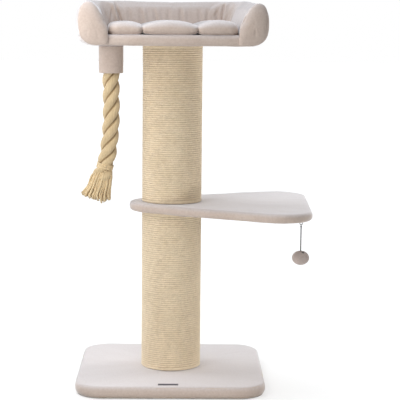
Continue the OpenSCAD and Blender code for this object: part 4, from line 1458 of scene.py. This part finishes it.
class POST_OT_stage(bpy.types.Operator):
    """Makes the camera, the lamps, the sky and the floor"""

    bl_idname = "post.stage"
    bl_label = "Stage"

    def execute(self, context):
        scene = context.scene
        scene.view_settings.view_transform = "Standard"
        self.camera(scene)
        self.lamps()
        self.sky(scene)
        self.floor()
        return {"FINISHED"}

    def camera(self, scene):
        s = settings("stage")
        ahead = Vector((math.sin(s.yaw) * math.cos(s.pitch), math.cos(s.yaw) * math.cos(s.pitch),
                        -math.sin(s.pitch)))
        right = Vector((math.cos(s.yaw), -math.sin(s.yaw), 0))
        up = right.cross(ahead)
        rolled = right * math.cos(s.roll) + up * math.sin(s.roll)
        top = up * math.cos(s.roll) - right * math.sin(s.roll)
        camera = bpy.data.objects.new("Camera", bpy.data.cameras.new("Camera"))
        camera.data.lens = s.lens
        camera.data.sensor_width = 36
        turned = Matrix((rolled, top, -ahead)).transposed()
        camera.matrix_world = Matrix.Translation(s.place) @ turned.to_4x4()
        scene.collection.objects.link(camera)
        scene.camera = camera

    def lamp(self, name, kind, at, target, strength, tint):
        data = bpy.data.lights.new(name, kind)
        data.energy, data.color = strength, tint
        lamp = bpy.data.objects.new(name, data)
        lamp.visible_camera = False
        lamp.location = at
        lamp.rotation_euler = (Vector(target) - Vector(at)).to_track_quat("-Z", "Y").to_euler()
        bpy.context.scene.collection.objects.link(lamp)
        return data

    def lamps(self):
        s = settings("stage")
        for name, at, aim, size, strength, tint in (
                ("Key lamp", (-0.5, -0.62, 1.1), (-0.1, 0, 0.8), (0.4, 0.9), s.key, (1, 0.98, 0.97)),
                ("Fill lamp", (1.4, 0.7, 0.45), (0, 0, 0.45), (0.7, 1.5), s.fill, (1, 0.97, 0.93)),
                ("Rim lamp", (-1.2, 0.4, 0.6), (0, 0, 0.5), (0.7, 1.5), s.rim, (0.97, 0.98, 1)),
                ("Bed lamp", (0.05, -0.3, 1.75), (0, 0, 0.93), (0.6, 0.4), s.bed, (0.92, 0.96, 1)),
                ("Low lamp", (0.05, -1.0, 0.14), (0, 0, 0.12), (0.8, 0.2), s.low, (1, 0.98, 0.96))):
            data = self.lamp(name, "AREA", at, aim, strength, tint)
            data.shape = "RECTANGLE"
            data.size, data.size_y = size
        top = self.lamp("Top lamp", "SUN", (-0.4, 1.2, 3.0), (0, 0, 0), s.top, (0.85, 0.93, 1.0))
        top.angle = math.radians(60)

    def sky(self, scene):
        world = bpy.data.worlds.new("Sky")
        world.use_nodes = True
        scene.world = world
        n = Nodes(world.node_tree)
        back = world.node_tree.nodes["Background"]
        seen = seen_as_white(n)
        back.inputs["Color"].default_value = (1, 1, 1, 1)
        n.put(back.inputs["Strength"], n.spread(seen, 0.0, 1.0, settings("stage").sky, 1.0))

    def floor(self):
        size, height = 30.0, -0.0005
        corners = [(x * size, y * size, height) for x, y in ((-1, -1), (1, -1), (1, 1), (-1, 1))]
        floor = mesh_object("Floor", corners, [[0, 1, 2, 3]])
        finish, n, shader = new_material("floor", roughness=1.0)
        shader.inputs["Base Color"].default_value = (0.5, 0.5, 0.5, 1)
        # Its glow makes it white to the camera, and less of it near the object, where the lamps add theirs
        far = n.add("ShaderNodeVectorMath", {0: place(n)}, operation="LENGTH").outputs["Value"]
        glow = n.spread(far, 0.45, 1.2, 0.5, 0.68)
        glow = n.math("MULTIPLY", seen_as_white(n), glow)
        shader.inputs["Emission Color"].default_value = (1, 1, 1, 1)
        n.put(shader.inputs["Emission Strength"], glow)
        floor.data.materials.append(finish)


class POST_PT_panel(bpy.types.Panel):
    """Lists the steps that build the post."""

    bl_idname = "POST_PT_panel"
    bl_label = "Scratching post"
    bl_space_type = "VIEW_3D"
    bl_region_type = "UI"
    bl_category = "Post"

    def draw(self, context):
        for step in STEPS:
            self.layout.operator(step.bl_idname)
        for name in SETTINGS:
            box = self.layout.box()
            box.label(text=name.title())
            for key in SETTINGS[name].__annotations__:
                box.prop(settings(name), key)


STEPS = (POST_OT_stage, POST_OT_rope, POST_OT_toy, POST_OT_boards, POST_OT_posts, POST_OT_sleeve,
         POST_OT_bolster, POST_OT_cushion, POST_OT_fixings)
CLASSES = (*SETTINGS.values(), *STEPS, POST_PT_panel)


def register():
    for each in CLASSES:
        bpy.utils.register_class(each)
    for name, kind in SETTINGS.items():
        setattr(bpy.types.Scene, "post_" + name, PointerProperty(type=kind))


def unregister():
    for name in SETTINGS:
        delattr(bpy.types.Scene, "post_" + name)
    for each in reversed(CLASSES):
        bpy.utils.unregister_class(each)


def main():
    register()
    for step in STEPS:
        category, name = step.bl_idname.split(".")
        getattr(getattr(bpy.ops, category), name)()


if __name__ == "__main__":
    main()
